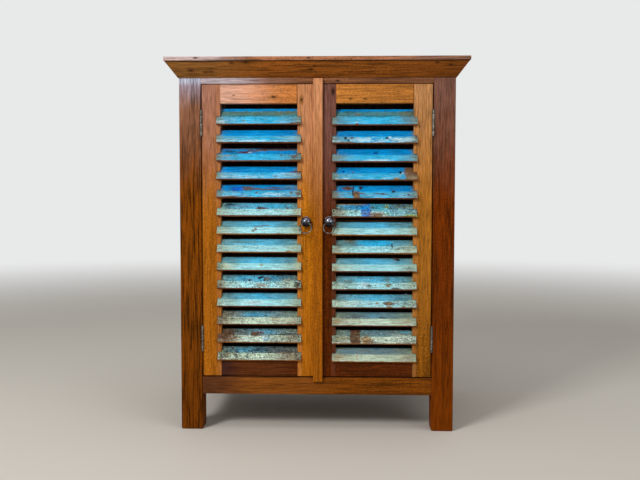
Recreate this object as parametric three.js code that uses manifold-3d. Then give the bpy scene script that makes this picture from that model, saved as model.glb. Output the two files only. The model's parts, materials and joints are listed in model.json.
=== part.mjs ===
// Louvred door cabinet: four square legs, a mitred cornice, and a pair of doors with housed slats.
// Millimetres, +Z up. The origin is on the floor at the middle of the overall box, and the front faces -Y.
import * as THREE from "three";
import { mergeVertices } from "three/addons/utils/BufferGeometryUtils.js";
import Module from "manifold-3d";

// Carcass
const bodyWidth = 648;
const bodyDepth = 420;
const overallHeight = 880;
const legSide = 51;
const footChamfer = 2.5;
const topThickness = 9;
const topOverhang = 30;
const railThickness = 22;
const topRailHeight = 49.2;
const bottomRailHeight = 42.2;
const bottomRailLift = 86.5;

// Cornice
const corniceHeight = 35.5;
const corniceProjection = 28.5;
const corniceFoot = 2;
const corniceThickness = 10;

// Panels and boards inside
const sidePanelThickness = 12;
const sidePanelInset = 6;
const panelTongue = 6;
const backPanelThickness = 6;
const backPanelInset = 6;
const backPanelLift = 100;
const boardThickness = 12;
const boardHousing = 4;
const floorRise = 3.5;
const shelfSetback = 60;

// Doors
const doorThickness = 22;
const doorSideGap = 2;
const doorEndGap = 1.8;
const meetingGap = 2.6;
const doorStopGap = 0.5;
const stileWidth = 44;
const doorTopRailHeight = 44;
const doorBottomRailHeight = 40;
const tenonLength = 14;
const tenonThickness = 8;
const tenonShoulder = 7;

// Cover strip over the meeting edges, fixed to the left door
const astragalWidth = 22.4;
const astragalThickness = 8;
const astragalOffset = 3;
const astragalTopLap = 11.3;
const astragalBottomLap = 9.6;
const astragalEase = 1.2;

// Slats: spread evenly between the first and the last, the first one wider than the rest
const slatCount = 14;
const firstSlatDrop = 76.9;
const lastSlatRise = 54.9;
const rightSlatDrop = 2;
const slatWidth = 36;
const slatThickness = 6.3;
const slatTilt = THREE.MathUtils.degToRad(56);
const slatProjection = 10.2;
const slatEase = 0.8;
const slatHousing = 8.8;
const slatPlay = 1.2;
const topSlatBackGap = 1.5;

// Butt hinges
const hingeLength = 61;
const hingeInset = 59.5;
const barrelRadius = 2.5;
const pinRadius = 1.1;
const pinProud = 1.2;
const pinHeadRadius = 1.9;
const pinHeadLength = 1;
const leafThickness = 1.4;
const leafWidth = 17;
const leafGap = 0.4;
const knuckleGap = 0.35;
const knuckleShares = [0.333, 0.334, 0.333];
const barrelRelief = 0.75;

// Ring pulls, below one of the slats
const pullSlat = 6;
const pullDrop = 30.2;
const leftPullOffset = 25.1;
const rightPullOffset = 29.4;
const bossRadius = 12.5;
const bossNose = 4;
const bossRim = 1.6;
const bossClearance = 0.1;
const ringClearance = 0.9;
const ringPivotDrop = 4.4;
const ringRadius = 13.1;
const ringWireRadius = 1.4;
const ringShoulder = 9.3;
const ringPinTip = 5.6;
const shankRadius = 2.2;
const shankLength = 13;

// Fits: seat where pieces rest on each other, slack where one is housed or turns in another
const seat = 0.2;
const slack = 0.3;
const overrun = 5;

// Facets round one full turn
const barrelFacets = 20;
const bossFacets = 32;
const domeSteps = 6;
const ringSteps = 28;
const wireFacets = 10;

// Places worked out from the sizes
const halfBody = bodyWidth / 2;
const frontY = (topOverhang - bodyDepth) / 2;
const backY = frontY + bodyDepth;
const legTop = overallHeight - topThickness;
const legInner = halfBody - legSide;
const frontLegBack = frontY + legSide;
const backLegFront = backY - legSide;
const topRailBottom = legTop - topRailHeight;
const bottomRailTop = bottomRailLift + bottomRailHeight;
const panelOuter = halfBody - sidePanelInset;
const panelInner = panelOuter - sidePanelThickness;
const backPanelFront = backY - backPanelInset - backPanelThickness;
const doorTop = topRailBottom - doorEndGap;
const doorBottom = bottomRailTop + doorEndGap;
const doorOuter = legInner - doorSideGap;
const doorMeeting = meetingGap / 2;
const openingOuter = doorOuter - stileWidth;
const openingInner = doorMeeting + stileWidth;
const floorTop = doorBottom + floorRise;
const shelfTop = (floorTop + legTop) / 2;
const firstSlatHeight = doorTop - firstSlatDrop;
const slatSpan = firstSlatHeight - doorBottom - lastSlatRise;
const slatPitch = slatSpan / (slatCount - 1);
const pullHeight = firstSlatHeight - (pullSlat - 1) * slatPitch - pullDrop;
const ringPivotReach = slatProjection + ringClearance + ringWireRadius;
const bossReach = ringPivotReach + bossNose;
const pivotHeight = pullHeight - ringPivotDrop;
const pivotY = frontY - ringPivotReach;
const pinX = legInner - doorSideGap / 2;
const pinY = frontY - pinProud;
const reliefRadius = barrelRadius + barrelRelief;

// Finishes, with colours from the photograph
function finish(color, roughness, metalness = 0) {
  return new THREE.MeshStandardMaterial({ color, roughness, metalness });
}

const legLeftWood = finish(0x784108, 0.45);
const legRightWood = finish(0x5f2a08, 0.45);
const corniceWood = finish(0x784619, 0.45);
const railWood = finish(0x6e3c14, 0.45);
const panelWood = finish(0x7a4a20, 0.55);
const goldenWood = finish(0x9d581d, 0.45);
const paleWood = finish(0xb4713c, 0.45);
const darkWood = finish(0x4f240c, 0.45);
const boardWood = finish(0x8a5a2c, 0.6);
const blackMetal = finish(0x17161a, 0.3, 0.9);
const hingeSteel = finish(0x5f4a3c, 0.45, 0.8);
const leftPaint = [
  0x4fa3c4, 0x1fa3dc, 0x1791c9, 0x3aa6d8, 0x3f97c8, 0x9fb8b4, 0x6fc0cc,
  0x8cc4bc, 0x86c8cf, 0x8a9c94, 0x84bfc4, 0xa3b4a4, 0x9a9a80, 0x7c8c86,
];
const rightPaint = [
  0x2fb2d4, 0x35a8dc, 0x189cdc, 0x3f9fcc, 0x3b93c4, 0x3f8fa8, 0x74c4c8,
  0x7cc6c6, 0x7ccbd8, 0x8ca69c, 0x62acc4, 0x9cb4b4, 0xa0a080, 0xa8b4a4,
];

// Solids by three.js, cuts and joins by manifold-3d
const wasm = await Module();
wasm.setup();

function toSolid(geometry) {
  const bare = new THREE.BufferGeometry().setAttribute("position", geometry.getAttribute("position"));
  if (geometry.index) bare.setIndex(geometry.index);
  const merged = mergeVertices(bare);
  const triVerts = [];
  for (let i = 0; i < merged.index.count; i += 3) {
    const [a, b, c] = merged.index.array.slice(i, i + 3);
    if (a !== b && b !== c && c !== a) triVerts.push(a, b, c);
  }
  return new wasm.Manifold(
    new wasm.Mesh({
      numProp: 3,
      vertProperties: merged.getAttribute("position").array,
      triVerts: new Uint32Array(triVerts),
    }),
  );
}

function toGeometry(solid) {
  const mesh = solid.getMesh();
  const geometry = new THREE.BufferGeometry()
    .setAttribute("position", new THREE.BufferAttribute(mesh.vertProperties, 3))
    .setIndex(new THREE.BufferAttribute(mesh.triVerts, 1));
  geometry.computeVertexNormals();
  return geometry;
}

function join(...geometries) {
  return toGeometry(geometries.map(toSolid).reduce((whole, part) => whole.add(part)));
}

function cut(geometry, ...cutters) {
  return toGeometry(cutters.map(toSolid).reduce((whole, part) => whole.subtract(part), toSolid(geometry)));
}

// A box between two corners, given as ranges that may run either way
function block([xa, xb], [ya, yb], [za, zb]) {
  return new THREE.BoxGeometry(Math.abs(xb - xa), Math.abs(yb - ya), Math.abs(zb - za)).translate(
    (xa + xb) / 2,
    (ya + yb) / 2,
    (za + zb) / 2,
  );
}

function cylinder(radius, [za, zb], x, y, facets) {
  return new THREE.CylinderGeometry(radius, radius, zb - za, facets)
    .rotateX(Math.PI / 2)
    .translate(x, y, (za + zb) / 2);
}

// A closed solid through loops with the same number of points, capped flat at both ends
function loft(loops) {
  const count = loops[0].length;
  const last = (loops.length - 1) * count;
  const faces = [];
  for (let start = 0; start < last; start += count)
    for (let i = 0; i < count; i++) {
      const a = start + i;
      const b = start + ((i + 1) % count);
      faces.push(a, b, b + count, a, b + count, a + count);
    }
  for (let i = 1; i + 1 < count; i++) faces.push(0, i + 1, i, last, last + i, last + i + 1);
  return new THREE.BufferGeometry()
    .setAttribute("position", new THREE.Float32BufferAttribute(loops.flat(2), 3))
    .setIndex(faces);
}

// A flat shape drawn in plan, standing between two heights
function planBoard(points, [za, zb]) {
  const shape = new THREE.Shape(points.map(([x, y]) => new THREE.Vector2(x, y)));
  return new THREE.ExtrudeGeometry(shape, { depth: zb - za, bevelEnabled: false }).translate(0, 0, za);
}

const cabinet = new THREE.Group();

function addPiece(group, name, geometry, material) {
  const mesh = new THREE.Mesh(geometry, material);
  mesh.name = name;
  group.add(mesh);
}

// Hinge heights, from each end of the door
const hingeRanges = {
  upper: [doorTop - hingeInset - hingeLength, doorTop - hingeInset],
  lower: [doorBottom + hingeInset, doorBottom + hingeInset + hingeLength],
};

function knuckleRange([low, high], index) {
  const below = knuckleShares.slice(0, index).reduce((sum, share) => sum + share, 0);
  const start = low + below * (high - low);
  return [start + knuckleGap / 2, start + knuckleShares[index] * (high - low) - knuckleGap / 2];
}

// The plate of one hinge leaf: side -1 lies on the leg, side 1 on the door edge
function leafPlate(side, range, mirror) {
  const near = mirror * pinX + (mirror * -side * leafGap) / 2;
  const far = near - mirror * side * leafThickness;
  return block([near, far], [pinY + reliefRadius, pinY + reliefRadius + leafWidth], range);
}

function leafWeb(side, range, mirror) {
  const near = mirror * pinX + (mirror * -side * leafGap) / 2;
  const far = near - mirror * side * leafThickness;
  return block([near, far], [pinY, pinY + reliefRadius + slack], range);
}

// The fixed leaf carries the two outer knuckles and the pin
function fixedLeaf(range, mirror) {
  const x = mirror * pinX;
  const parts = [leafPlate(-1, range, mirror)];
  for (const index of [0, 2]) {
    const knuckle = knuckleRange(range, index);
    parts.push(cylinder(barrelRadius, knuckle, x, pinY, barrelFacets), leafWeb(-1, knuckle, mirror));
  }
  const [low, high] = range;
  const pin = [low - pinHeadLength / 2, high + pinHeadLength / 2];
  parts.push(cylinder(pinRadius, pin, x, pinY, barrelFacets));
  parts.push(cylinder(pinHeadRadius, [low - pinHeadLength, low], x, pinY, barrelFacets));
  parts.push(cylinder(pinHeadRadius, [high, high + pinHeadLength], x, pinY, barrelFacets));
  return join(...parts);
}

// The moving leaf is let into the door's hinge stile and carries the middle knuckle
function movingLeaf(range, mirror) {
  const knuckle = knuckleRange(range, 1);
  const bore = cylinder(pinRadius + seat, [range[0], range[1]], mirror * pinX, pinY, barrelFacets);
  const barrel = cylinder(barrelRadius, knuckle, mirror * pinX, pinY, barrelFacets);
  return cut(join(leafPlate(1, range, mirror), leafWeb(1, knuckle, mirror), barrel), bore);
}

// The recess that clears the barrel in the corner of a leg or stile
function barrelRecess([low, high], mirror) {
  return block(
    [mirror * (pinX - reliefRadius), mirror * (pinX + reliefRadius)],
    [frontY - overrun, pinY + reliefRadius],
    [low - pinHeadLength - slack, high + pinHeadLength + slack],
  );
}

function leafMortise([low, high], mirror) {
  return block(
    [mirror * (legInner - overrun), mirror * (pinX + leafGap / 2 + leafThickness + slack)],
    [pinY + reliefRadius - overrun, pinY + reliefRadius + leafWidth + slack],
    [low - slack, high + slack],
  );
}

// Carcass
function tenonRange([low, high], extra) {
  return [low + tenonShoulder - extra, high - tenonShoulder + extra];
}

function railTenon(xRange, zRange, extra) {
  const middle = frontY + railThickness / 2;
  const half = tenonThickness / 2 + extra;
  return block(xRange, [middle - half, middle + half], tenonRange(zRange, extra));
}

const carcassRails = {
  front_top_rail: [topRailBottom, legTop],
  front_bottom_rail: [bottomRailLift, bottomRailTop],
};

function leg(mirror, isFront) {
  const [xa, xb] = mirror > 0 ? [legInner, halfBody] : [-halfBody, -legInner];
  const [ya, yb] = isFront ? [frontY, frontLegBack] : [backLegFront, backY];
  const outline = (inset, z) => [
    [xa + inset, ya + inset, z],
    [xb - inset, ya + inset, z],
    [xb - inset, yb - inset, z],
    [xa + inset, yb - inset, z],
  ];
  const post = loft([outline(footChamfer, 0), outline(0, footChamfer), outline(0, legTop)]);
  const grooveY = isFront
    ? [frontLegBack - panelTongue - slack, frontLegBack + overrun]
    : [backLegFront - overrun, backLegFront + panelTongue + slack];
  const cutters = [
    block(
      [mirror * (panelInner - slack), mirror * (panelOuter + slack)],
      grooveY,
      [bottomRailLift - slack, legTop + overrun],
    ),
  ];
  if (isFront) {
    for (const zRange of Object.values(carcassRails)) {
      const tenonCut = [mirror * (legInner - overrun), mirror * (legInner + tenonLength + slack)];
      cutters.push(railTenon(tenonCut, zRange, slack));
    }
    for (const range of Object.values(hingeRanges)) {
      cutters.push(barrelRecess(range, mirror), leafMortise(range, mirror));
    }
  } else {
    cutters.push(
      block(
        [mirror * (legInner - overrun), mirror * (legInner + panelTongue + slack)],
        [backPanelFront - slack, backPanelFront + backPanelThickness + slack],
        [backPanelLift - slack, legTop + overrun],
      ),
    );
  }
  return cut(post, ...cutters);
}

addPiece(cabinet, "leg_front_left", leg(-1, true), legLeftWood);
addPiece(cabinet, "leg_front_right", leg(1, true), legRightWood);
addPiece(cabinet, "leg_back_left", leg(-1, false), legLeftWood);
addPiece(cabinet, "leg_back_right", leg(1, false), legRightWood);

for (const [name, zRange] of Object.entries(carcassRails)) {
  const half = legInner - seat;
  const top = zRange[1] - (name === "front_top_rail" ? seat : 0);
  const rail = block([-half, half], [frontY, frontY + railThickness], [zRange[0], top]);
  const tenons = [-1, 1].map((side) =>
    railTenon([side * (half - overrun), side * (legInner + tenonLength)], zRange, 0),
  );
  addPiece(cabinet, name, join(rail, ...tenons), railWood);
}

const shelfLevels = {
  bottom_board: [floorTop - boardThickness, floorTop],
  shelf: [shelfTop - boardThickness, shelfTop],
};

// Each side panel stands in grooves of its two legs and houses the ends of the shelf and the bottom
function sidePanel(mirror) {
  const panel = block(
    [mirror * panelInner, mirror * panelOuter],
    [frontLegBack - panelTongue, backLegFront + panelTongue],
    [bottomRailLift, legTop - seat],
  );
  const housings = Object.values(shelfLevels).map(([low, high]) =>
    block(
      [mirror * (panelInner - overrun), mirror * (panelInner + boardHousing + slack)],
      [frontLegBack, backLegFront],
      [low - slack, high + slack],
    ),
  );
  return cut(panel, ...housings);
}

addPiece(cabinet, "side_panel_left", sidePanel(-1), panelWood);
addPiece(cabinet, "side_panel_right", sidePanel(1), panelWood);

const backPanelHalf = legInner + panelTongue;
addPiece(
  cabinet,
  "back_panel",
  block(
    [-backPanelHalf, backPanelHalf],
    [backPanelFront, backPanelFront + backPanelThickness],
    [backPanelLift, legTop - seat],
  ),
  boardWood,
);

// Plan of a board that fits between the legs and runs on into the side panels
function housedPlan(front) {
  const wide = panelInner + boardHousing;
  const narrow = legInner - slack;
  const shoulder = frontLegBack + slack;
  const start = front < shoulder ? [[narrow, front], [narrow, shoulder], [wide, shoulder]] : [[wide, front]];
  const right = [
    ...start,
    [wide, backLegFront - slack],
    [narrow, backLegFront - slack],
    [narrow, backPanelFront - seat],
  ];
  const left = right.map(([x, y]) => [-x, y]).reverse();
  return [...right, ...left];
}

addPiece(
  cabinet,
  "bottom_board",
  planBoard(housedPlan(frontY + doorThickness + doorStopGap), shelfLevels.bottom_board),
  boardWood,
);
addPiece(cabinet, "shelf", planBoard(housedPlan(frontY + shelfSetback), shelfLevels.shelf), boardWood);

addPiece(
  cabinet,
  "top_board",
  block(
    [-halfBody - topOverhang, halfBody + topOverhang],
    [frontY - topOverhang, backY],
    [legTop, overallHeight],
  ),
  corniceWood,
);

// Cornice: flat boards leaning outwards, mitred at the front corners
const corniceBottom = legTop - corniceHeight;
const corniceSlope = (corniceProjection - corniceFoot) / (corniceHeight - seat);
const corniceDepth = corniceThickness * Math.hypot(1, corniceSlope);
const corniceSection = [
  [seat, corniceBottom],
  [corniceFoot, corniceBottom],
  [corniceProjection, legTop - seat],
  [corniceProjection - corniceDepth, legTop - seat],
  [seat, corniceBottom + (corniceDepth - corniceFoot + seat) / corniceSlope],
];

function corniceLoop(place) {
  return corniceSection.map(([out, z]) => place(out, z)).reverse();
}

addPiece(
  cabinet,
  "cornice_front",
  loft([
    corniceLoop((out, z) => [seat / 2 - halfBody - out, frontY - out, z]),
    corniceLoop((out, z) => [halfBody + out - seat / 2, frontY - out, z]),
  ]),
  corniceWood,
);
for (const [name, side] of [["cornice_left", -1], ["cornice_right", 1]]) {
  const frontLoop = corniceLoop((out, z) => [side * (halfBody + out), frontY - out + seat, z]);
  const backLoop = corniceLoop((out, z) => [side * (halfBody + out), backY, z]);
  addPiece(cabinet, name, loft(side > 0 ? [frontLoop, backLoop] : [backLoop, frontLoop]), corniceWood);
}

for (const [name, side] of [["left", -1], ["right", 1]]) {
  for (const [level, range] of Object.entries(hingeRanges)) {
    addPiece(cabinet, name + "_" + level + "_hinge", fixedLeaf(range, side), hingeSteel);
  }
}

// Slats: boards tilted with the front edge down, their ends housed in the stiles
const slatCos = Math.cos(slatTilt);
const slatSin = Math.sin(slatTilt);
const slatAhead = slatProjection / slatCos;
const slatBehind = slatWidth - slatAhead;
const topSlatBehind = (doorThickness - topSlatBackGap - slatThickness * slatSin) / slatCos;

// Extrudes a profile of a slat along X: its first axis runs down the slope, its second out of the face
function alongSlat(profile, [xa, xb], [height, behind]) {
  const shape = new THREE.Shape(profile.map(([u, v]) => new THREE.Vector2(u, v)));
  const place = new THREE.Matrix4().makeBasis(
    new THREE.Vector3(0, -slatCos, -slatSin),
    new THREE.Vector3(0, -slatSin, slatCos),
    new THREE.Vector3(-1, 0, 0),
  );
  place.setPosition(Math.max(xa, xb), frontY + behind * slatCos, height + behind * slatSin);
  const board = new THREE.ExtrudeGeometry(shape, { depth: Math.abs(xb - xa), bevelEnabled: false });
  return board.applyMatrix4(place);
}

function slat(xRange, row) {
  const width = row[1] + slatAhead;
  return alongSlat(
    [
      [0, -slatThickness],
      [width - slatEase, -slatThickness],
      [width, slatEase - slatThickness],
      [width, -slatEase],
      [width - slatEase, 0],
      [0, 0],
    ],
    xRange,
    row,
  );
}

function slatSlot(xRange, row) {
  const width = row[1] + slatAhead;
  return alongSlat(
    [
      [-slack, -slatThickness - slack],
      [width, -slatThickness - slack],
      [width, slatPlay],
      [-slack, slatPlay],
    ],
    xRange,
    row,
  );
}

// Pulls: a domed boss drilled across, and an open ring whose ends turn in the hole
function turned(profile, facets) {
  const points = profile.map(([radius, reach]) => new THREE.Vector2(radius, reach));
  return new THREE.LatheGeometry(points, facets).rotateX(Math.PI);
}

function bossDome(extra) {
  const radius = bossRadius + extra;
  const nose = bossReach + extra;
  const dome = Array.from({ length: domeSteps }, (_, i) => {
    const turn = ((i / domeSteps) * Math.PI) / 2;
    return [radius * Math.cos(turn), bossRim + (nose - bossRim) * Math.sin(turn)];
  });
  return [[radius, seat - extra], ...dome, [0, nose]];
}

function pullBoss(x) {
  const profile = [
    [0, -shankLength],
    [shankRadius, -shankLength],
    [shankRadius, seat],
    ...bossDome(0),
  ];
  const hole = new THREE.CylinderGeometry(
    ringWireRadius + slack,
    ringWireRadius + slack,
    2 * (bossRadius + overrun),
    barrelFacets,
  );
  return cut(
    turned(profile, bossFacets).translate(x, frontY, pullHeight),
    hole.rotateZ(Math.PI / 2).translate(x, pivotY, pivotHeight),
  );
}

// Slat ends that would reach the boss are cut back round it
function bossRoom(x) {
  const room = turned([[0, seat - bossClearance], ...bossDome(bossClearance)], bossFacets);
  return room.translate(x, frontY, pullHeight);
}

// The ring's wire follows a circle that its two short pins leave at the boss
function pullRing(x) {
  const drop = Math.sqrt(ringRadius ** 2 - ringShoulder ** 2);
  const turn = Math.PI - Math.atan2(drop, ringShoulder);
  const path = [new THREE.Vector2(-ringPinTip, 0)];
  for (let i = 0; i <= ringSteps; i++) {
    const angle = turn + (i / ringSteps) * (3 * Math.PI - 2 * turn);
    path.push(new THREE.Vector2(ringRadius * Math.cos(angle), ringRadius * Math.sin(angle) - drop));
  }
  path.push(new THREE.Vector2(ringPinTip, 0));
  const loops = path.map((point, i) => {
    const before = path[Math.max(i - 1, 0)];
    const after = path[Math.min(i + 1, path.length - 1)];
    const arriving = point.clone().sub(before).normalize();
    const leaving = after.clone().sub(point).normalize();
    const heading = arriving.add(leaving).normalize();
    return Array.from({ length: wireFacets }, (_, j) => {
      const around = (j / wireFacets) * 2 * Math.PI;
      const out = ringWireRadius * Math.cos(around);
      return [
        x + point.x + out * heading.y,
        pivotY + ringWireRadius * Math.sin(around),
        pivotHeight + point.y - out * heading.x,
      ];
    });
  });
  return loft(loops);
}

// Doors
function doorTenon(xRange, zRange, extra) {
  const middle = frontY + doorThickness / 2;
  const half = tenonThickness / 2 + extra;
  return block(xRange, [middle - half, middle + half], tenonRange(zRange, extra));
}

const doorRails = {
  top_rail: [doorTop - doorTopRailHeight, doorTop],
  bottom_rail: [doorBottom, doorBottom + doorBottomRailHeight],
};

// Each slat's height, and how far it reaches back from the front of the stiles, along its slope
function slatRows(mirror) {
  const start = firstSlatHeight - (mirror > 0 ? rightSlatDrop : 0);
  return Array.from({ length: slatCount }, (_, i) => [
    start - i * slatPitch,
    i ? slatBehind : topSlatBehind,
  ]);
}

// Cuts for the rail tenons and the slat ends, in the edge of a stile that faces the louvres
function stileCuts(mirror, edge, inward) {
  const tenonCut = [mirror * (edge + inward * overrun), mirror * (edge - inward * (tenonLength + slack))];
  const slotCut = [mirror * (edge + inward * overrun), mirror * (edge - inward * slatHousing)];
  return [
    ...Object.values(doorRails).map((range) => doorTenon(tenonCut, range, slack)),
    ...slatRows(mirror).map((row) => slatSlot(slotCut, row)),
  ];
}

function hingeStile(mirror) {
  const stile = block(
    [mirror * openingOuter, mirror * doorOuter],
    [frontY, frontY + doorThickness],
    [doorBottom, doorTop],
  );
  const recesses = Object.values(hingeRanges).map((range) => barrelRecess(range, mirror));
  const wood = cut(stile, ...stileCuts(mirror, openingOuter, -1), ...recesses);
  return join(wood, ...Object.values(hingeRanges).map((range) => movingLeaf(range, mirror)));
}

function meetingStile(mirror, pullX) {
  const stile = block(
    [mirror * doorMeeting, mirror * openingInner],
    [frontY, frontY + doorThickness],
    [doorBottom, doorTop],
  );
  const shankHole = turned(
    [
      [0, -shankLength - slack],
      [shankRadius + slack, -shankLength - slack],
      [shankRadius + slack, overrun],
      [0, overrun],
    ],
    bossFacets,
  ).translate(pullX, frontY, pullHeight);
  return cut(stile, ...stileCuts(mirror, openingInner, 1), shankHole);
}

function doorRail(mirror, zRange) {
  const [low, high] = [openingInner + seat, openingOuter - seat];
  const rail = block([mirror * low, mirror * high], [frontY, frontY + doorThickness], zRange);
  return join(
    rail,
    doorTenon([mirror * (openingInner - tenonLength), mirror * (low + overrun)], zRange, 0),
    doorTenon([mirror * (high - overrun), mirror * (openingOuter + tenonLength)], zRange, 0),
  );
}

function addDoor(name, mirror, pullX, woods, paint) {
  const door = new THREE.Group();
  addPiece(door, name + "_door_hinge_stile", hingeStile(mirror), woods.hingeStile);
  addPiece(door, name + "_door_meeting_stile", meetingStile(mirror, pullX), woods.meetingStile);
  for (const [rail, zRange] of Object.entries(doorRails)) {
    addPiece(door, name + "_door_" + rail, doorRail(mirror, zRange), woods[rail]);
  }
  const slatRange = [
    mirror * (openingInner - slatHousing + slack),
    mirror * (openingOuter + slatHousing - slack),
  ];
  slatRows(mirror).forEach((row, i) => {
    const number = String(i + 1).padStart(2, "0");
    const color = paint[i % paint.length];
    const board = cut(slat(slatRange, row), bossRoom(pullX));
    addPiece(door, name + "_slat_" + number, board, finish(color, 0.5));
  });
  addPiece(door, name + "_pull_boss", pullBoss(pullX), blackMetal);
  addPiece(door, name + "_pull_ring", pullRing(pullX), blackMetal);
  cabinet.add(door);
  return door;
}

const leftDoor = addDoor(
  "left",
  -1,
  -leftPullOffset,
  { hingeStile: goldenWood, meetingStile: goldenWood, top_rail: paleWood, bottom_rail: darkWood },
  leftPaint,
);
addDoor(
  "right",
  1,
  rightPullOffset,
  { hingeStile: goldenWood, meetingStile: darkWood, top_rail: goldenWood, bottom_rail: darkWood },
  rightPaint,
);

// Cover strip with eased front corners, glued and nailed to the left door's meeting stile
const astragalLeft = astragalOffset - astragalWidth / 2;
const astragalRight = astragalOffset + astragalWidth / 2;
const astragalBack = frontY - seat;
const astragalFront = astragalBack - astragalThickness;
addPiece(
  leftDoor,
  "astragal",
  planBoard(
    [
      [astragalLeft, astragalBack],
      [astragalLeft, astragalFront + astragalEase],
      [astragalLeft + astragalEase, astragalFront],
      [astragalRight - astragalEase, astragalFront],
      [astragalRight, astragalFront + astragalEase],
      [astragalRight, astragalBack],
    ],
    [bottomRailTop - astragalBottomLap, topRailBottom + astragalTopLap],
  ),
  goldenWood,
);

export default cabinet;
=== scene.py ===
"""Dresses the louvred door cabinet: stained woods, weathered slats, steel hinges and black ring pulls"""
import json
import math

import bmesh
import bpy
from mathutils import Matrix, Vector


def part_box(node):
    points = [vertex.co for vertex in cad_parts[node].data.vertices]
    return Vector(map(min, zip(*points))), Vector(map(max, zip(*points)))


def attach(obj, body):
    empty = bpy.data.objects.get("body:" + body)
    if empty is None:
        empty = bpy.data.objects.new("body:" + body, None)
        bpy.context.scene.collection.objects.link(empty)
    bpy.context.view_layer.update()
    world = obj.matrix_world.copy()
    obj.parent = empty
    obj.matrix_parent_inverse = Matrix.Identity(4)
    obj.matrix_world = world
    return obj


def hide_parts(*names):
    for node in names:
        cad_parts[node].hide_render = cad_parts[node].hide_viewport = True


bl_info = {
    "name": "Louvred door cabinet",
    "version": (1, 0, 0),
    "blender": (4, 5, 0),
    "location": "View3D > Sidebar > Cabinet",
    "description": "Builds the finished woods, slats, hinges, pulls and stage of a louvred door cabinet",
    "category": "Object",
}

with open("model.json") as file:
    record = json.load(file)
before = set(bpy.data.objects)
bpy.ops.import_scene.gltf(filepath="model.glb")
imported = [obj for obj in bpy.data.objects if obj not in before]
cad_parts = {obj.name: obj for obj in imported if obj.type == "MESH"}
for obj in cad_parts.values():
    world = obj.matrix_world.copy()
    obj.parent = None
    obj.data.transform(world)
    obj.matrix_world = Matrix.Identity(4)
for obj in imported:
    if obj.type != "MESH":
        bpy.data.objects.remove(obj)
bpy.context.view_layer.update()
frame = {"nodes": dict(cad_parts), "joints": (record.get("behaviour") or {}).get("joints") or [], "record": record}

MM = 0.001
NEAR = 0.02 * MM
SAME_PLACE = 0.004 * MM
BODIES = frame["record"]["behaviour"]["bodies"]
NODE_BODY = {node: body for body, nodes in BODIES.items() for node in nodes}
PINS = {joint["name"]: Vector(joint["pos_m"]) for joint in frame["joints"]}
SIDES = {"left": -1, "right": 1}
LEVELS = ("upper", "lower")


# Tones

def tone(red, green, blue):
    """A colour given in display values from 0 to 255, as a shader takes it"""
    shares = [channel / 255 for channel in (red, green, blue)]
    return tuple(s / 12.92 if s <= 0.04045 else ((s + 0.055) / 1.055) ** 2.4 for s in shares) + (1.0,)


def shades(stain, spread=1.0):
    """A wood's light, middle and dark tones round one stain"""
    levels = (1 + 0.16 * spread, 1.0, 1 - 0.42 * spread)
    return [tone(*[min(255, level * channel) for channel in stain]) for level in levels]


PAINTS = {name: tone(*levels) for name, levels in {
    "azure": (0, 150, 222),
    "deep_azure": (0, 128, 198),
    "bright_azure": (14, 178, 238),
    "vivid_sky": (44, 190, 246),
    "sky": (48, 178, 224),
    "clear_sky": (78, 192, 236),
    "white_sky": (158, 202, 208),
    "ice": (154, 220, 228),
    "milk": (206, 226, 210),
    "cobalt": (28, 118, 222),
    "ultramarine": (20, 108, 224),
    "turquoise": (40, 160, 176),
    "aqua": (128, 212, 228),
    "lichen": (156, 178, 154),
    "teal": (16, 106, 140),
    # the painted shadow of a door's top rail on its first slat
    "rail_shadow": (48, 116, 126),
    "slate_blue": (96, 148, 168),
    "steel_blue": (104, 166, 198),
    "grey_teal": (98, 140, 138),
    "grey_green": (92, 122, 108),
    "sage": (122, 134, 108),
    "olive": (104, 108, 74),
    "leaf": (156, 176, 40),
    "cream": (190, 196, 160),
    "pale_cream": (190, 212, 188),
    "ochre": (160, 122, 64),
    "bare": (106, 76, 52),
    "grey_bare": (124, 104, 80),
    "red_bare": (100, 36, 16),
    "dark_bare": (50, 28, 20),
    "crack": (12, 14, 18),
    "navy": (2, 30, 120),
    "chalk": (200, 226, 232),
    "iron": (78, 82, 82),
    "sand": (150, 140, 108),
}.items()}


# Settings that a user may change

class CabinetEdges(bpy.types.PropertyGroup):
    """How far the edges of the wooden pieces are eased"""

    leg: bpy.props.FloatProperty(
        name="Leg edges", description="Width of the eased edges of the legs",
        default=1.6 * MM, min=0, unit="LENGTH",
    )
    door: bpy.props.FloatProperty(
        name="Door edges", description="Width of the eased edges of the door frames",
        default=0.7 * MM, min=0, unit="LENGTH",
    )
    board: bpy.props.FloatProperty(
        name="Board edges", description="Width of the eased edges of boards and rails",
        default=0.9 * MM, min=0, unit="LENGTH",
    )


class CabinetSlats(bpy.types.PropertyGroup):
    """Shape of the painted slats"""

    thickness: bpy.props.FloatProperty(
        name="Thickness", description="Thickness of a slat",
        default=6.3 * MM, min=0, unit="LENGTH",
    )
    tilt: bpy.props.FloatProperty(
        name="Tilt", description="Angle of a slat to the level",
        default=math.radians(56), unit="ROTATION",
    )
    ease: bpy.props.FloatProperty(
        name="Rounding", description="Radius of a slat's long edges",
        default=0.9 * MM, min=0, unit="LENGTH",
    )
    corner: bpy.props.FloatProperty(
        name="Cut corner", description="Width cut off the solid slat's front corner",
        default=0.8 * MM, min=0, unit="LENGTH",
    )
    chips: bpy.props.FloatProperty(
        name="Chip depth", description="Deepest chip in a slat's front edge",
        default=1.1 * MM, min=0, unit="LENGTH",
    )
    waves: bpy.props.FloatProperty(
        name="Edge waves", description="How far a slat's front edge wanders",
        default=0.7 * MM, min=0, unit="LENGTH",
    )
    steps: bpy.props.IntProperty(
        name="Steps", description="Faces along a slat", default=110, min=10, max=300
    )


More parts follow.
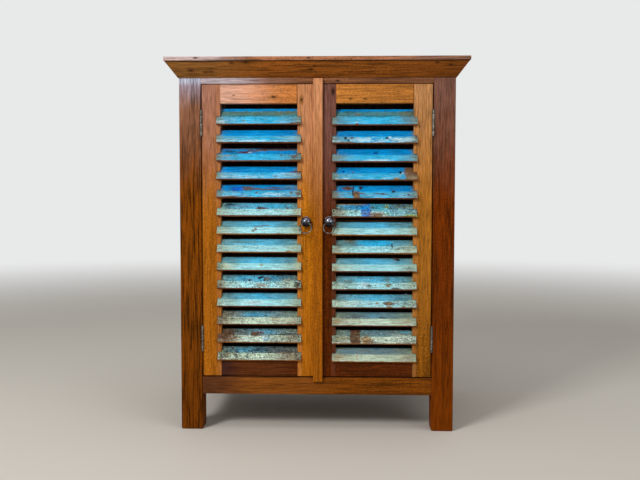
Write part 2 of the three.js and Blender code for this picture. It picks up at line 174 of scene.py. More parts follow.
class CabinetFittings(bpy.types.PropertyGroup):
    """Sizes of the small metal parts"""

    screw: bpy.props.FloatProperty(
        name="Screw radius", description="Radius of a hinge screw's head",
        default=2.4 * MM, min=0, unit="LENGTH",
    )
    wire: bpy.props.FloatProperty(
        name="Ring wire", description="Radius of the wire of a pull ring",
        default=1.4 * MM, min=0, unit="LENGTH",
    )


class CabinetStage(bpy.types.PropertyGroup):
    """Floor, background and light"""

    floor: bpy.props.FloatVectorProperty(
        name="Floor", description="Colour of the floor",
        default=tone(214, 208, 198)[:3], size=3, subtype="COLOR",
    )
    backdrop: bpy.props.FloatVectorProperty(
        name="Background", description="Colour behind the cabinet",
        default=tone(232, 233, 233)[:3], size=3, subtype="COLOR",
    )
    daylight: bpy.props.FloatProperty(
        name="Daylight", description="Strength of the light from all round", default=0.3, min=0
    )
    lamps: bpy.props.FloatProperty(
        name="Lamps", description="Strength of the soft lamps", default=1.0, min=0
    )


# Small helpers for node trees

class Field:
    """What a node puts out: plain arithmetic on it adds the nodes that work it out"""

    def __init__(self, socket):
        self.socket = socket

    def __add__(self, other):
        return calc("ADD", self, other)

    def __sub__(self, other):
        return calc("SUBTRACT", self, other)

    def __rsub__(self, other):
        return calc("SUBTRACT", other, self)

    def __mul__(self, other):
        return calc("MULTIPLY", self, other)

    def __truediv__(self, other):
        return calc("DIVIDE", self, other)


def fill(node, inputs):
    """Joins fields to a node's inputs, and sets the inputs that get plain values"""
    for key, value in inputs.items():
        if isinstance(value, Field):
            node.id_data.links.new(value.socket, node.inputs[key])
        else:
            node.inputs[key].default_value = value
    return node


def add(tree, kind, inputs=None, **settings):
    """A new node with its settings made and its inputs filled"""
    made = tree.nodes.new(kind)
    for name, value in settings.items():
        setattr(made, name, value)
    return fill(made, inputs or {})


def step(inputs, kind, key=0, **settings):
    """One output of a new node that works on fields"""
    first = next(value for value in inputs.values() if isinstance(value, Field))
    return Field(add(first.socket.id_data, kind, inputs, **settings).outputs[key])


def calc(operation, *values):
    """A sum on numbers or on vectors, as its first field is"""
    first = next(value for value in values if isinstance(value, Field))
    kind = "ShaderNodeMath" if first.socket.type == "VALUE" else "ShaderNodeVectorMath"
    return step(dict(enumerate(values)), kind, "Value" if operation == "LENGTH" else 0, operation=operation)


def rise(value, low, high):
    """0 below low, 1 above high, and a smooth step between them"""
    inputs = {"Value": value, "From Min": low, "From Max": high}
    return step(inputs, "ShaderNodeMapRange", interpolation_type="SMOOTHSTEP")


def swing(value, amount):
    """A value round 0.5, brought to swing round 0"""
    return (value - 0.5) * amount


def mixed(share, first, second):
    return step({0: share, 6: first, 7: second}, "ShaderNodeMix", 2, data_type="RGBA")


def noise(vector, stretch, seed, detail=3.0, roughness=0.55):
    """Noise from 0 to 1, with stretch features to the unit along each axis"""
    inputs = {"Vector": vector * stretch, "W": seed, "Scale": 1.0, "Detail": detail, "Roughness": roughness}
    return step(inputs, "ShaderNodeTexNoise", noise_dimensions="4D")


def split(vector):
    made = add(vector.socket.id_data, "ShaderNodeSeparateXYZ", {0: vector})
    return [Field(socket) for socket in made.outputs]


def combined(x=0.0, y=0.0, z=0.0):
    return step({0: x, 1: y, 2: z}, "ShaderNodeCombineXYZ")


def object_place(tree):
    """Where a point lies on its object, in metres"""
    return Field(add(tree, "ShaderNodeTexCoord").outputs["Object"])


def in_cm(place):
    return place * (100, 100, 100)


KINDS = {
    "value": "NodeSocketFloat",
    "count": "NodeSocketInt",
    "vector": "NodeSocketVector",
    "colour": "NodeSocketColor",
    "material": "NodeSocketMaterial",
    "shape": "NodeSocketGeometry",
}


def new_group(name, kind, inputs, outputs):
    """A node group with named sockets: its tree, the fields it is given, and the node that puts out"""
    tree = bpy.data.node_groups.new(name, kind)
    for label, (socket, default) in inputs.items():
        made = tree.interface.new_socket(label, in_out="INPUT", socket_type=KINDS[socket])
        if default is not None:
            made.default_value = default
    for label, socket in outputs.items():
        tree.interface.new_socket(label, in_out="OUTPUT", socket_type=KINDS[socket])
    given = {socket.name: Field(socket) for socket in add(tree, "NodeGroupInput").outputs}
    return tree, given, add(tree, "NodeGroupOutput")


# Effects that several finishes share

SLAT_IN_CM = (20.0, 3.6, 0.63)


def build_grain_effect():
    """Stained grain that runs along X, in centimetres"""
    inputs = {
        "Vector": ("vector", None),
        "Light": ("colour", PAINTS["ochre"]),
        "Middle": ("colour", PAINTS["bare"]),
        "Dark": ("colour", PAINTS["dark_bare"]),
        "Streaks": ("value", 0.5),
        "Mottle": ("value", 0.3),
        "Pores": ("value", 0.4),
        "Seed": ("value", 0.0),
    }
    outputs = {"Color": "colour", "Depth": "value", "Height": "value"}
    _, given, out = new_group("Stained grain", "ShaderNodeTree", inputs, outputs)
    place, seed, streaks = given["Vector"], given["Seed"], given["Streaks"]
    shift = swing(noise(place, (0.05, 0.25, 0.25), seed, 2.0), 1.2)
    bent = place + combined(0.0, shift, shift)
    figure = noise(bent, (0.05, 0.9, 0.9), seed)
    lines = noise(bent, (0.11, 3.0, 3.0), seed, 3.0, 0.6)
    fibres = noise(bent, (0.25, 5.0, 5.0), seed, 4.0, 0.65)
    flecks = noise(place, (2.4, 3.8, 3.8), seed, 3.0, 0.65)
    pores = rise(noise(bent, (1.0, 16.0, 16.0), seed, 1.0), 0.6, 0.72) * given["Pores"]
    streak = rise(lines, 0.49, 0.6) * streaks
    broad = rise(figure, 0.46, 0.3) * (streaks * 0.8)
    colour = mixed(rise(figure, 0.38, 0.64), given["Middle"], given["Light"])
    for share in (streak, broad, pores * 0.8):
        colour = mixed(share, colour, given["Dark"])
    level = swing(flecks, given["Mottle"] * 4.4) + swing(fibres, 1.5) + 1.0
    fill(out, {
        "Color": colour * combined(level, level, level),
        "Depth": calc("MAXIMUM", calc("MAXIMUM", streak, broad), pores),
        "Height": fibres + lines * 0.7 - pores,
    })


def build_knot_effect():
    """Mask of one knot, with the darker ring round it, where the grain runs along X"""
    inputs = {
        "Vector": ("vector", None),
        "Place": ("vector", (0, 0, 0)),
        "Size": ("value", 0.3),
        "Seed": ("value", 0.0),
    }
    _, given, out = new_group("Knot", "ShaderNodeTree", inputs, {"Core": "value", "Ring": "value"})
    away = (given["Vector"] - given["Place"]) * (0.45, 1.0, 1.0)
    ragged = swing(noise(given["Vector"], (4.0, 6.0, 6.0), given["Seed"], 2.0), 0.5)
    distance = calc("LENGTH", away) / given["Size"] + ragged
    fill(out, {"Core": rise(distance, 1.0, 0.55), "Ring": rise(distance, 2.6, 1.0)})


def build_paint_effect():
    """Weathered paint on a slat, from its shares along the slat, down its face and through its thickness

    Shade is the paint's own unevenness. Strips and Flecks are masks of chalky paint, Bare is one of bare wood,
    and Marks is one of dark cracks and specks.
    """
    inputs = {
        "Share": ("vector", None),
        "Upper": ("colour", PAINTS["azure"]),
        "Lower": ("colour", PAINTS["sky"]),
        "Ends": ("colour", PAINTS["sage"]),
        "Band": ("value", 0.49),
        "Wear": ("value", 0.3),
        "Chalking": ("value", 0.4),
        "Upper chalking": ("value", 0.4),
        "Specks": ("value", 0.3),
        "Worn ends": ("value", 0.7),
        "Seed": ("value", 0.0),
    }
    masks = ("Shade", "Strips", "Flecks", "Bare", "Marks", "Height")
    outputs = {"Color": "colour", **{mask: "value" for mask in masks}}
    _, given, out = new_group("Weathered paint", "ShaderNodeTree", inputs, outputs)
    wear, specks = given["Wear"], given["Specks"]
    board = given["Share"] * SLAT_IN_CM
    along, down, _ = split(given["Share"])

    def field(stretch, offset=0.0, detail=3.0, roughness=0.6):
        return noise(board, stretch + (1.0,), given["Seed"] + offset, detail, roughness)

    # Band is where the painted shadow of the slat above ends on a slat: the Upper colour above it holds painted
    # shade as well as the paint's own tone
    band = down + swing(field((1.2, 1.5), 0.0, 4.0), 0.05) - given["Band"]
    lower = rise(band, -0.025, 0.025)
    ends = calc("ABSOLUTE", along - 0.5) * 2.0
    worn = rise(ends + swing(field((1.0, 2.2), 4.0, 4.0, 0.65), 0.4), 0.8, 0.98) * given["Worn ends"]
    colour = mixed(worn, mixed(lower, given["Upper"], given["Lower"]), given["Ends"])

    grit = calc("POWER", specks, 1.4) * 3.6 + 0.2
    broad = swing(field((0.35, 0.9)), 0.5) + swing(field((0.4, 4.0), 2.0, 4.0), 1.9)
    shade = broad + swing(field((3.2, 3.6), 6.0), grit) + 1.0

    chalking = lower * given["Chalking"] + (1.0 - lower) * given["Upper chalking"]
    thin = rise(field((0.5, 6.0), 1.0, 4.0, 0.65), 0.44, 0.62)
    wide = rise(field((0.7, 1.6), 7.0, 4.0), 0.44, 0.6)
    near_edge = rise(down, 0.5, 0.95) * 0.8 + 0.2
    strips = thin * wide * near_edge * (chalking * 1.6)
    flecks = rise(field((2.2, 4.2), 12.0), 0.6, 0.68) * (chalking * 0.6)

    grain = field((0.35, 6.0), 9.0)
    lines = rise(grain, 0.56, 0.66) * (wear * 1.6)
    amount = field((1.2, 3.4), 3.0, 5.0, 0.66) + rise(down, 0.86, 1.0) * 0.2 + rise(ends, 0.8, 1.0) * 0.1
    flaked = rise(amount - (0.88 - wear * 0.3), 0.0, 0.03)

    veins = calc("ABSOLUTE", field((1.2, 2.4), 8.0) - 0.5)
    cracks = rise(veins, 0.03, 0.01) * rise(field((0.6, 1.0), 11.0), 0.45, 0.6) * (specks * 1.1)
    dots = field((4.0, 4.6), 5.0, 2.0) + rise(ends, 0.72, 0.95) * 0.12
    dots = rise(dots, 0.66, 0.71) * (specks + 0.1)
    fill(out, {
        "Color": colour,
        "Shade": shade,
        "Strips": calc("MINIMUM", strips, 0.9),
        "Flecks": flecks,
        "Bare": calc("MINIMUM", calc("MAXIMUM", lines, flaked), 0.9),
        "Marks": calc("MINIMUM", calc("MAXIMUM", cracks, dots), 0.9),
        "Height": grain * 0.3 - calc("MAXIMUM", flaked, dots),
    })


def build_patch_effect():
    """Mask of one torn patch on a slat, by its shares along and down"""
    inputs = {
        "Share": ("vector", None),
        "Middle": ("vector", (0.5, 0.7, 0)),
        "Reach": ("vector", (0.1, 0.1, 1)),
        "Tear": ("value", 0.0),
        "Ragged": ("value", 4.0),
    }
    _, given, out = new_group("Patch", "ShaderNodeTree", inputs, {"Mask": "value"})
    away = (given["Share"] - given["Middle"]) / given["Reach"]
    distance = calc("LENGTH", away) + given["Tear"] * given["Ragged"]
    fill(out, {"Mask": rise(distance, 1.15, 0.85)})


def effect(tree, name, inputs):
    """The fields that a shared effect puts out for these inputs"""
    made = tree.nodes.new("ShaderNodeGroup")
    made.node_tree = bpy.data.node_groups[name]
    fill(made, inputs)
    return {socket.name: Field(socket) for socket in made.outputs}


def new_material(name):
    """A material with nothing but its surface shader: the material, its tree and the shader"""
    material = bpy.data.materials.new(name)
    material.use_nodes = True
    tree = material.node_tree
    return material, tree, next(n for n in tree.nodes if n.type == "BSDF_PRINCIPLED")


def raise_grain(shader, height, distance):
    bump = step({"Height": height, "Distance": distance, "Strength": 0.6}, "ShaderNodeBump")
    fill(shader, {"Normal": bump})


# Woods

AXES = {"X": (0, 1, 2), "Y": (1, 2, 0), "Z": (2, 0, 1)}
FINE_GRAIN_HEIGHT = 0.25 * MM
WOOD_GLOSS = 0.03
KNOT_RING = 0.65
KNOT_CORE = 0.75
SILL_SHADOW = (1.8 * MM, 0.8 * MM)
EDGE_SHADOW = (2 * MM, 0.6 * MM)
JOINT_SHADOW = (2.2 * MM, 1 * MM)


def wood(name, stain, along="Z", spread=1.0, streaks=0.5, mottle=0.3, pores=0.4, seed=0.0, roughness=0.36,
         veils=(), knots=()):
    """Stained wood whose grain runs along one axis

    A veil is (colour, axis, from, to, share): another colour that comes in between two places, in metres: a stain,
    a painted sheen, or a painted shadow line.
    A knot is (x, y, z, radius) in millimetres.
    """
    material, tree, shader = new_material(name)
    place = object_place(tree)
    spots, order = split(in_cm(place)), AXES[along]
    grain = combined(*[spots[i] for i in order])
    light, middle, dark = shades(stain, spread)
    made = effect(tree, "Stained grain", {
        "Vector": grain, "Light": light, "Middle": middle, "Dark": dark,
        "Streaks": streaks, "Mottle": mottle, "Pores": pores, "Seed": seed,
    })
    colour = made["Color"]
    if veils:
        colour = veiled(colour, veils, place, grain, made["Depth"], seed)
    for *spot, radius in knots:
        centre = [spot[i] / 10 for i in order]
        knot = effect(tree, "Knot", {"Vector": grain, "Place": centre, "Size": radius / 10, "Seed": seed})
        colour = mixed(knot["Ring"] * KNOT_RING, colour, dark)
        colour = mixed(knot["Core"] * KNOT_CORE, colour, PAINTS["crack"])
    fill(shader, {"Base Color": colour, "Roughness": roughness, "Specular IOR Level": WOOD_GLOSS})
    raise_grain(shader, made["Height"], FINE_GRAIN_HEIGHT)
    return material


def veiled(colour, veils, place, grain, depth, seed):
    """A wood's colour with other colours laid over it, each in its own grain: stains, painted sheen and painted
    shadow lines
    """
    clouds = noise(grain, (0.25, 0.8, 0.8), seed + 1.0)
    fibres = noise(grain, (0.3, 4.0, 4.0), seed + 2.0, 3.0, 0.6)
    level = swing(fibres, 2.4) + 1.09 - depth * 0.55
    shade = combined(level, level, level)
    places = dict(zip("XYZ", split(place)))
    for tint, axis, low, high, share in veils:
        reach = places[axis] + swing(clouds, 0.5 * abs(high - low))
        colour = mixed(rise(reach, low, high) * share, colour, shade * tone(*tint)[:3])
    return colour


def frame_front():
    """The front plane of the legs, in millimetres"""
    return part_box("leg_front_left")[0].y / MM


def finished_woods(recipes):
    return {name: wood(name + "_wood", **recipe) for name, recipe in recipes.items()}


def carcass_woods():
    """The woods of the legs, rails, panels, boards and cornice"""
    front = frame_front()
    # board, the tone of the back and inside boards, is darker than the sides, partly as painted shade inside the
    # closed cabinet
    umber, board = (118, 66, 24), (92, 60, 34)
    # A dark band along the cornice's top, under the top board's edge: painted shadow
    seam_shadow = ((40, 22, 10), "Z", 0.8665, 0.8705, 0.85)
    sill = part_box("front_bottom_rail")[1].z
    return finished_woods({
        # The left leg's three pale veils higher up are painted sheen, light reflected off its upper part; the dark
        # one low down is a stain
        "leg_left": dict(stain=(116, 60, 6), spread=1.2, streaks=0.9, seed=1.3, veils=[
            ((92, 44, 4), "Z", 0.34, 0.1, 0.35), ((138, 96, 74), "Z", 0.55, 0.8, 0.8),
            ((172, 158, 172), "Z", 0.76, 0.83, 0.8), ((196, 204, 226), "Z", 0.815, 0.827, 0.7),
        ]),
        # The right leg's pale upper veil is painted sheen; the lower one is a redder stain
        "leg_right": dict(stain=(102, 44, 4), streaks=0.65, mottle=0.5, seed=4.1, veils=[
            ((124, 86, 72), "Z", 0.52, 0.84, 0.9), ((124, 58, 2), "Z", 0.3, 0.1, 0.6),
        ]),
        # The top rail's two pale veils towards its left end are painted sheen
        "top_rail": dict(stain=(130, 84, 56), along="X", mottle=0.5, seed=2.2, veils=[
            ((146, 106, 90), "X", -0.02, -0.12, 0.9), ((196, 182, 190), "X", -0.1, -0.22, 0.9),
        ], knots=[(49, front, 828, 1.6)]),
        "bottom_rail": dict(stain=(116, 62, 12), along="X", streaks=0.65, mottle=0.45, seed=5.7, veils=[
            ((136, 78, 28), "X", 0.06, -0.04, 0.7), ((88, 50, 28), "X", -0.14, -0.24, 0.95),
            ((46, 18, 10), "Z", *[sill - reach for reach in SILL_SHADOW], 0.85),
        ]),
        "cornice": dict(stain=(146, 84, 30), along="X", streaks=0.7, mottle=0.4, seed=3.9, veils=[
            ((150, 104, 54), "X", -0.1, -0.28, 0.7), ((118, 66, 24), "X", 0.16, 0.3, 0.6), seam_shadow,
        ], knots=[
            (-293, front - 14, 850, 2.2), (-196, front - 24, 867, 2.2), (-163, front - 25, 868, 2.6),
            (-259, front - 11.5, 846, 2), (-246, front - 12, 847, 1.8), (-13, front - 15, 852, 2.2),
            (-4, front - 19, 859, 1.6), (278, front - 24, 866, 1.8), (309, front - 20, 861, 2),
        ]),
        "cornice_side": dict(stain=umber, along="Y", streaks=0.7, seed=3.2, veils=[seam_shadow]),
        # The top board's pale pinkish veil towards its left end is painted sheen
        "top_board": dict(stain=(160, 106, 74), along="X", streaks=0.7, mottle=0.5, seed=8.5, veils=[
            ((198, 174, 172), "X", -0.14, -0.28, 0.85), ((134, 98, 82), "X", 0.1, 0.3, 0.8),
        ], knots=[(-279, front - 30, 877, 1.6), (-18, front - 30, 876, 1.2)]),
        "side_panel": dict(stain=umber, streaks=0.45, seed=6.4, roughness=0.45),
        "back_panel": dict(stain=board, streaks=0.45, seed=7.1, roughness=0.5),
        "inside_board": dict(stain=board, along="X", streaks=0.45, seed=9.6, roughness=0.5),
    })


def door_woods():
    """The woods of the door frames and the cover strip"""
    front = frame_front()
    outer = abs(PINS["left_door_hinge"].x) - LEAF_STEP
    edge, shadow = [outer - reach for reach in EDGE_SHADOW], (44, 18, 10)
    inner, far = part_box("left_door_meeting_stile")[0].x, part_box("right_door_hinge_stile")[0].x

    # A painted shadow line along a rail where it meets a stile
    def joint_shadow_line(corner):
        return (shadow, "X", *[corner - reach for reach in JOINT_SHADOW], 0.75)

    return finished_woods({
        # The left hinge stile's pale upper veil is painted sheen; its shadow veil is painted shade along its outer
        # edge
        "left_hinge_stile": dict(stain=(162, 95, 20), spread=0.7, streaks=0.4, mottle=0.5, seed=1.9, veils=[
            ((164, 114, 94), "Z", 0.48, 0.82, 0.95), ((200, 128, 76), "X", -0.241, -0.234, 0.3),
            (shadow, "X", -edge[0], -edge[1], 0.85),
        ]),
        # The left meeting stile's pale upper veil is painted sheen; the darker golden one lower down is a stain
        "left_meeting_stile": dict(
            stain=(178, 106, 16), spread=0.7, streaks=0.4, mottle=0.6, seed=2.8, veils=[
                ((188, 128, 88), "Z", 0.5, 0.74, 0.95), ((160, 92, 16), "Z", 0.4, 0.2, 0.7),
                ((212, 140, 78), "X", -0.032, -0.039, 0.3),
            ], knots=[(-36, front, 784, 2.8)],
        ),
        # The right meeting stile's pale upper veil is painted sheen
        "right_meeting_stile": dict(stain=(84, 36, 4), mottle=0.8, seed=4.6, veils=[
            ((118, 78, 68), "Z", 0.46, 0.74, 0.95), ((118, 70, 52), "X", 0.032, 0.039, 0.35),
        ], knots=[(38, front, 803, 2.6)]),
        # The right hinge stile's pale upper veil is painted sheen; its shadow veil is painted shade along its
        # outer edge
        "right_hinge_stile": dict(stain=(138, 81, 14), spread=0.8, mottle=1.1, pores=0.9, seed=6.9, veils=[
            ((170, 108, 36), "Z", 0.1, 0.45, 0.9), ((184, 132, 86), "Z", 0.5, 0.85, 0.9),
            ((202, 140, 86), "X", 0.241, 0.234, 0.25), (shadow, "X", edge[0], edge[1], 0.85),
        ]),
        # The left door top rail's pale veil towards its left end is painted sheen
        "left_door_top_rail": dict(
            stain=(200, 124, 64), along="X", spread=0.6, streaks=0.4, mottle=0.4, seed=3.4,
            veils=[((214, 166, 144), "X", -0.06, -0.22, 0.9), joint_shadow_line(inner)],
            knots=[(-101, front, 791, 3), (-195, front, 795, 1)],
        ),
        "right_door_top_rail": dict(
            stain=(186, 118, 52), along="X", spread=0.7, mottle=0.4, seed=5.2, veils=[joint_shadow_line(far)],
            knots=[(79, front, 786, 1.6), (113, front, 786, 1.6)],
        ),
        "door_bottom_rail": dict(
            stain=(84, 38, 10), along="X", spread=1.1, streaks=0.6, mottle=0.6, seed=7.7,
            veils=[((98, 54, 26), "X", -0.04, -0.09, 0.6), ((56, 34, 32), "X", -0.17, -0.225, 0.8)],
        ),
        # The cover strip's pale upper veil is painted sheen
        "cover_strip": dict(stain=(158, 90, 16), spread=0.6, streaks=0.4, mottle=0.5, seed=8.1, veils=[
            ((200, 138, 96), "Z", 0.46, 0.82, 0.95),
        ]),
    })


# Metals

METAL_SHARE = 0.85
PIT_DEPTH = 0.1 * MM
# Painted shade that blackens the lower half of a boss: its soft edge and how much of the colour it covers
PAINTED_SHADE_EDGE = 2 * MM
PAINTED_SHADE_COVER = 0.85


def metal(name, light, dark, roughness, seed, shaded_below=None):
    """Worn metal, smoother where it is rubbed, and, if a height in metres is given, turned black below it with
    painted shade
    """
    material, tree, shader = new_material(name)
    place = in_cm(object_place(tree))
    pits = noise(place, (14, 14, 14), seed)
    rubbed = rise(noise(place, (3, 3, 3), seed, 4.0), 0.35, 0.7)
    colour = mixed(rubbed, tone(*dark), tone(*light))
    if shaded_below is not None:
        # painted shade: below the given height the colour goes to near black
        painted_shade = rise(split(place)[2] / 100, shaded_below + PAINTED_SHADE_EDGE, shaded_below - PAINTED_SHADE_EDGE)
        colour = mixed(painted_shade * PAINTED_SHADE_COVER, colour, tone(6, 5, 6))
    fill(shader, {"Base Color": colour, "Roughness": pits * 0.2 + roughness, "Metallic": METAL_SHARE})
    raise_grain(shader, pits, PIT_DEPTH)
    return material


def hinge_steel(name):
    return metal(name, (158, 154, 144), (72, 64, 56), 0.35, 2.0)


# Pieces

SHARP_ANGLE = math.radians(32)
EASED_ANGLE = math.radians(50)
SHORTEST_EASED = 4
FLAT_ANGLE = math.radians(0.5)


def stand_for(piece, node):
    """Lets a finished piece take the place of its node"""
    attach(piece, NODE_BODY[node])
    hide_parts(node)
    return piece


def go_with(piece, node):
    """Lets a small extra piece move with the node that carries it"""
    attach(piece, NODE_BODY[node])
    return piece


def mesh_object(name, shape, *materials):
    """An object made from a bmesh, smooth but for its sharp edges"""
    mesh = bpy.data.meshes.new(name)
    shape.to_mesh(mesh)
    shape.free()
    mesh.polygons.foreach_set("use_smooth", [True] * len(mesh.polygons))
    mesh.set_sharp_from_angle(angle=SHARP_ANGLE)
    for material in materials:
        mesh.materials.append(material)
    piece = bpy.data.objects.new(name, mesh)
    bpy.context.scene.collection.objects.link(piece)
    return piece


def merged_copy(node):
    """A node's mesh with its loose triangles joined and its flat faces made whole"""
    shape = bmesh.new()
    shape.from_mesh(frame["nodes"][node].data)
    bmesh.ops.remove_doubles(shape, verts=shape.verts[:], dist=SAME_PLACE)
    bmesh.ops.dissolve_limit(shape, angle_limit=FLAT_ANGLE, verts=shape.verts[:], edges=shape.edges[:])
    return shape


def ease_edges(shape, box, width):
    """Rounds a copy's outer edges, and those of its front and back faces"""

    def planes(vert):
        return {(i, end) for i in range(3) for end in (0, 1) if abs(vert.co[i] - box[end][i]) < NEAR}

    eased = []
    for edge in shape.edges:
        if not edge.is_manifold or edge.calc_face_angle() < EASED_ANGLE:
            continue
        if edge.calc_length() < SHORTEST_EASED * width:
            continue
        shared = planes(edge.verts[0]) & planes(edge.verts[1])
        if len(shared) > 1 or any(axis == 1 for axis, _ in shared):
            eased.append(edge)
    round_off(shape, eased, width, 3, False)


def round_off(shape, edges, width, segments, clamped):
    bmesh.ops.bevel(
        shape, geom=edges, offset=width, segments=segments, profile=0.5, affect="EDGES", clamp_overlap=clamped
    )


def worked_piece(node, material, width):
    shape = merged_copy(node)
    ease_edges(shape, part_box(node), width)
    return stand_for(mesh_object(node + "_wood", shape, material), node)


def grown(name, tree, values):
    """The plain mesh that a geometry tree makes from its named inputs"""
    piece = bpy.data.objects.new(name, bpy.data.meshes.new(name + "_start"))
    bpy.context.scene.collection.objects.link(piece)
    modifier = piece.modifiers.new("shape", "NODES")
    modifier.node_group = tree
    sockets = {item.name: item.identifier for item in tree.interface.items_tree if item.in_out == "INPUT"}
    for label, value in values.items():
        modifier[sockets[label]] = value
    depsgraph = bpy.context.evaluated_depsgraph_get()
    mesh = bpy.data.meshes.new_from_object(
        piece.evaluated_get(depsgraph), preserve_all_data_layers=True, depsgraph=depsgraph
    )
    piece.modifiers.clear()
    piece.data = mesh
    mesh.name = name
    if not mesh.polygons:
        raise RuntimeError(name + " came out empty")
    return piece


class BuildCarcass(bpy.types.Operator):
    """Makes the legs, rails, side panels, back and boards"""

    bl_idname = "cabinet.build_carcass"
    bl_label = "Carcass"

    def execute(self, context):
        edges = context.scene.cabinet_edges
        woods = carcass_woods()
        finishes = {
            "leg_front_left": "leg_left",
            "leg_back_left": "leg_left",
            "leg_front_right": "leg_right",
            "leg_back_right": "leg_right",
            "front_top_rail": "top_rail",
            "front_bottom_rail": "bottom_rail",
            "side_panel_left": "side_panel",
            "side_panel_right": "side_panel",
            "back_panel": "back_panel",
            "bottom_board": "inside_board",
            "shelf": "inside_board",
            "top_board": "top_board",
            "cornice_front": "cornice",
            "cornice_left": "cornice_side",
            "cornice_right": "cornice_side",
        }
        for node, name in finishes.items():
            worked_piece(node, woods[name], edges.leg if node.startswith("leg") else edges.board)
        return {"FINISHED"}


class BuildDoorFrames(bpy.types.Operator):
    """Makes the stiles and rails of both doors, and the cover strip"""

    bl_idname = "cabinet.build_door_frames"
    bl_label = "Door frames"

    def execute(self, context):
        width = context.scene.cabinet_edges.door
        woods = door_woods()
        steel = hinge_steel("door_leaf_steel")
        for side in SIDES:
            worked_piece(side + "_door_meeting_stile", woods[side + "_meeting_stile"], width)
            worked_piece(side + "_door_top_rail", woods[side + "_door_top_rail"], width)
            worked_piece(side + "_door_bottom_rail", woods["door_bottom_rail"], width)
            hinge_stile(side, woods[side + "_hinge_stile"], steel, width)
        worked_piece("astragal", woods["cover_strip"], width)
        return {"FINISHED"}


# Sizes of the hinge solids, from the pin's axis: the stile's edge, the floor of the leaf's recess, the
# door's knuckle, and the web that joins it to the leaf
LEAF_STEP = 1 * MM
RECESS_FLOOR = 3.25 * MM
KNUCKLE_REACH = 2.55 * MM
WEB_HALF_WIDTH = 1.62 * MM
WEB_REACH = 3.65 * MM


def hinge_stile(side, material, steel, width):
    """The stile at the hinges, with the steel leaf that is let into its edge"""
    node = side + "_door_hinge_stile"
    pin = PINS[side + "_door_hinge"]
    outer = abs(pin.x) - LEAF_STEP
    inner = min(abs(corner.x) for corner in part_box(node))
    low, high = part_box(side + "_door_meeting_stile")
    low.x, high.x = sorted((SIDES[side] * inner, SIDES[side] * outer))
    shape = merged_copy(node)
    ease_edges(shape, (low, high), width)
    shape.faces.ensure_lookup_table()
    for face in shape.faces:
        if is_leaf_face(face, pin, outer) and in_hinge_height(face, side):
            face.material_index = 1
    return stand_for(mesh_object(node + "_wood", shape, material, steel), node)


def in_hinge_height(face, side):
    """True where a face lies between the ends of one of its door's hinges"""
    heights = [vert.co.z for vert in face.verts]
    boxes = [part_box(f"{side}_{level}_hinge") for level in LEVELS]
    return any(low.z < min(heights) and max(heights) < high.z for low, high in boxes)


def is_leaf_face(face, pin, edge):
    """True where a face of a hinge stile belongs to its hinge leaf"""
    if abs(face.calc_center_median().x) > edge + NEAR:
        return True
    corners = [vert.co for vert in face.verts]
    if all(abs(c.y - pin.y - RECESS_FLOOR) < NEAR for c in corners):
        return False
    if all(abs(abs(c.x) - edge) < NEAR for c in corners):
        return False

    def on_leaf(corner):
        aside = abs(corner.x - pin.x)
        away = math.hypot(aside, corner.y - pin.y)
        return away <= KNUCKLE_REACH or (aside <= WEB_HALF_WIDTH and away <= WEB_REACH)

    return all(on_leaf(corner) for corner in corners)


# Slats

OUTLINE_POINTS = 60
PAINTED_SLOPE = 0.55
FRONT_EDGE = (0.82, 0.99)
TOP_EDGE = (0.12, 0.0)
NOTCH_SIDE = (0.022, 0.010)
DENT_DEPTH = 0.5 * MM


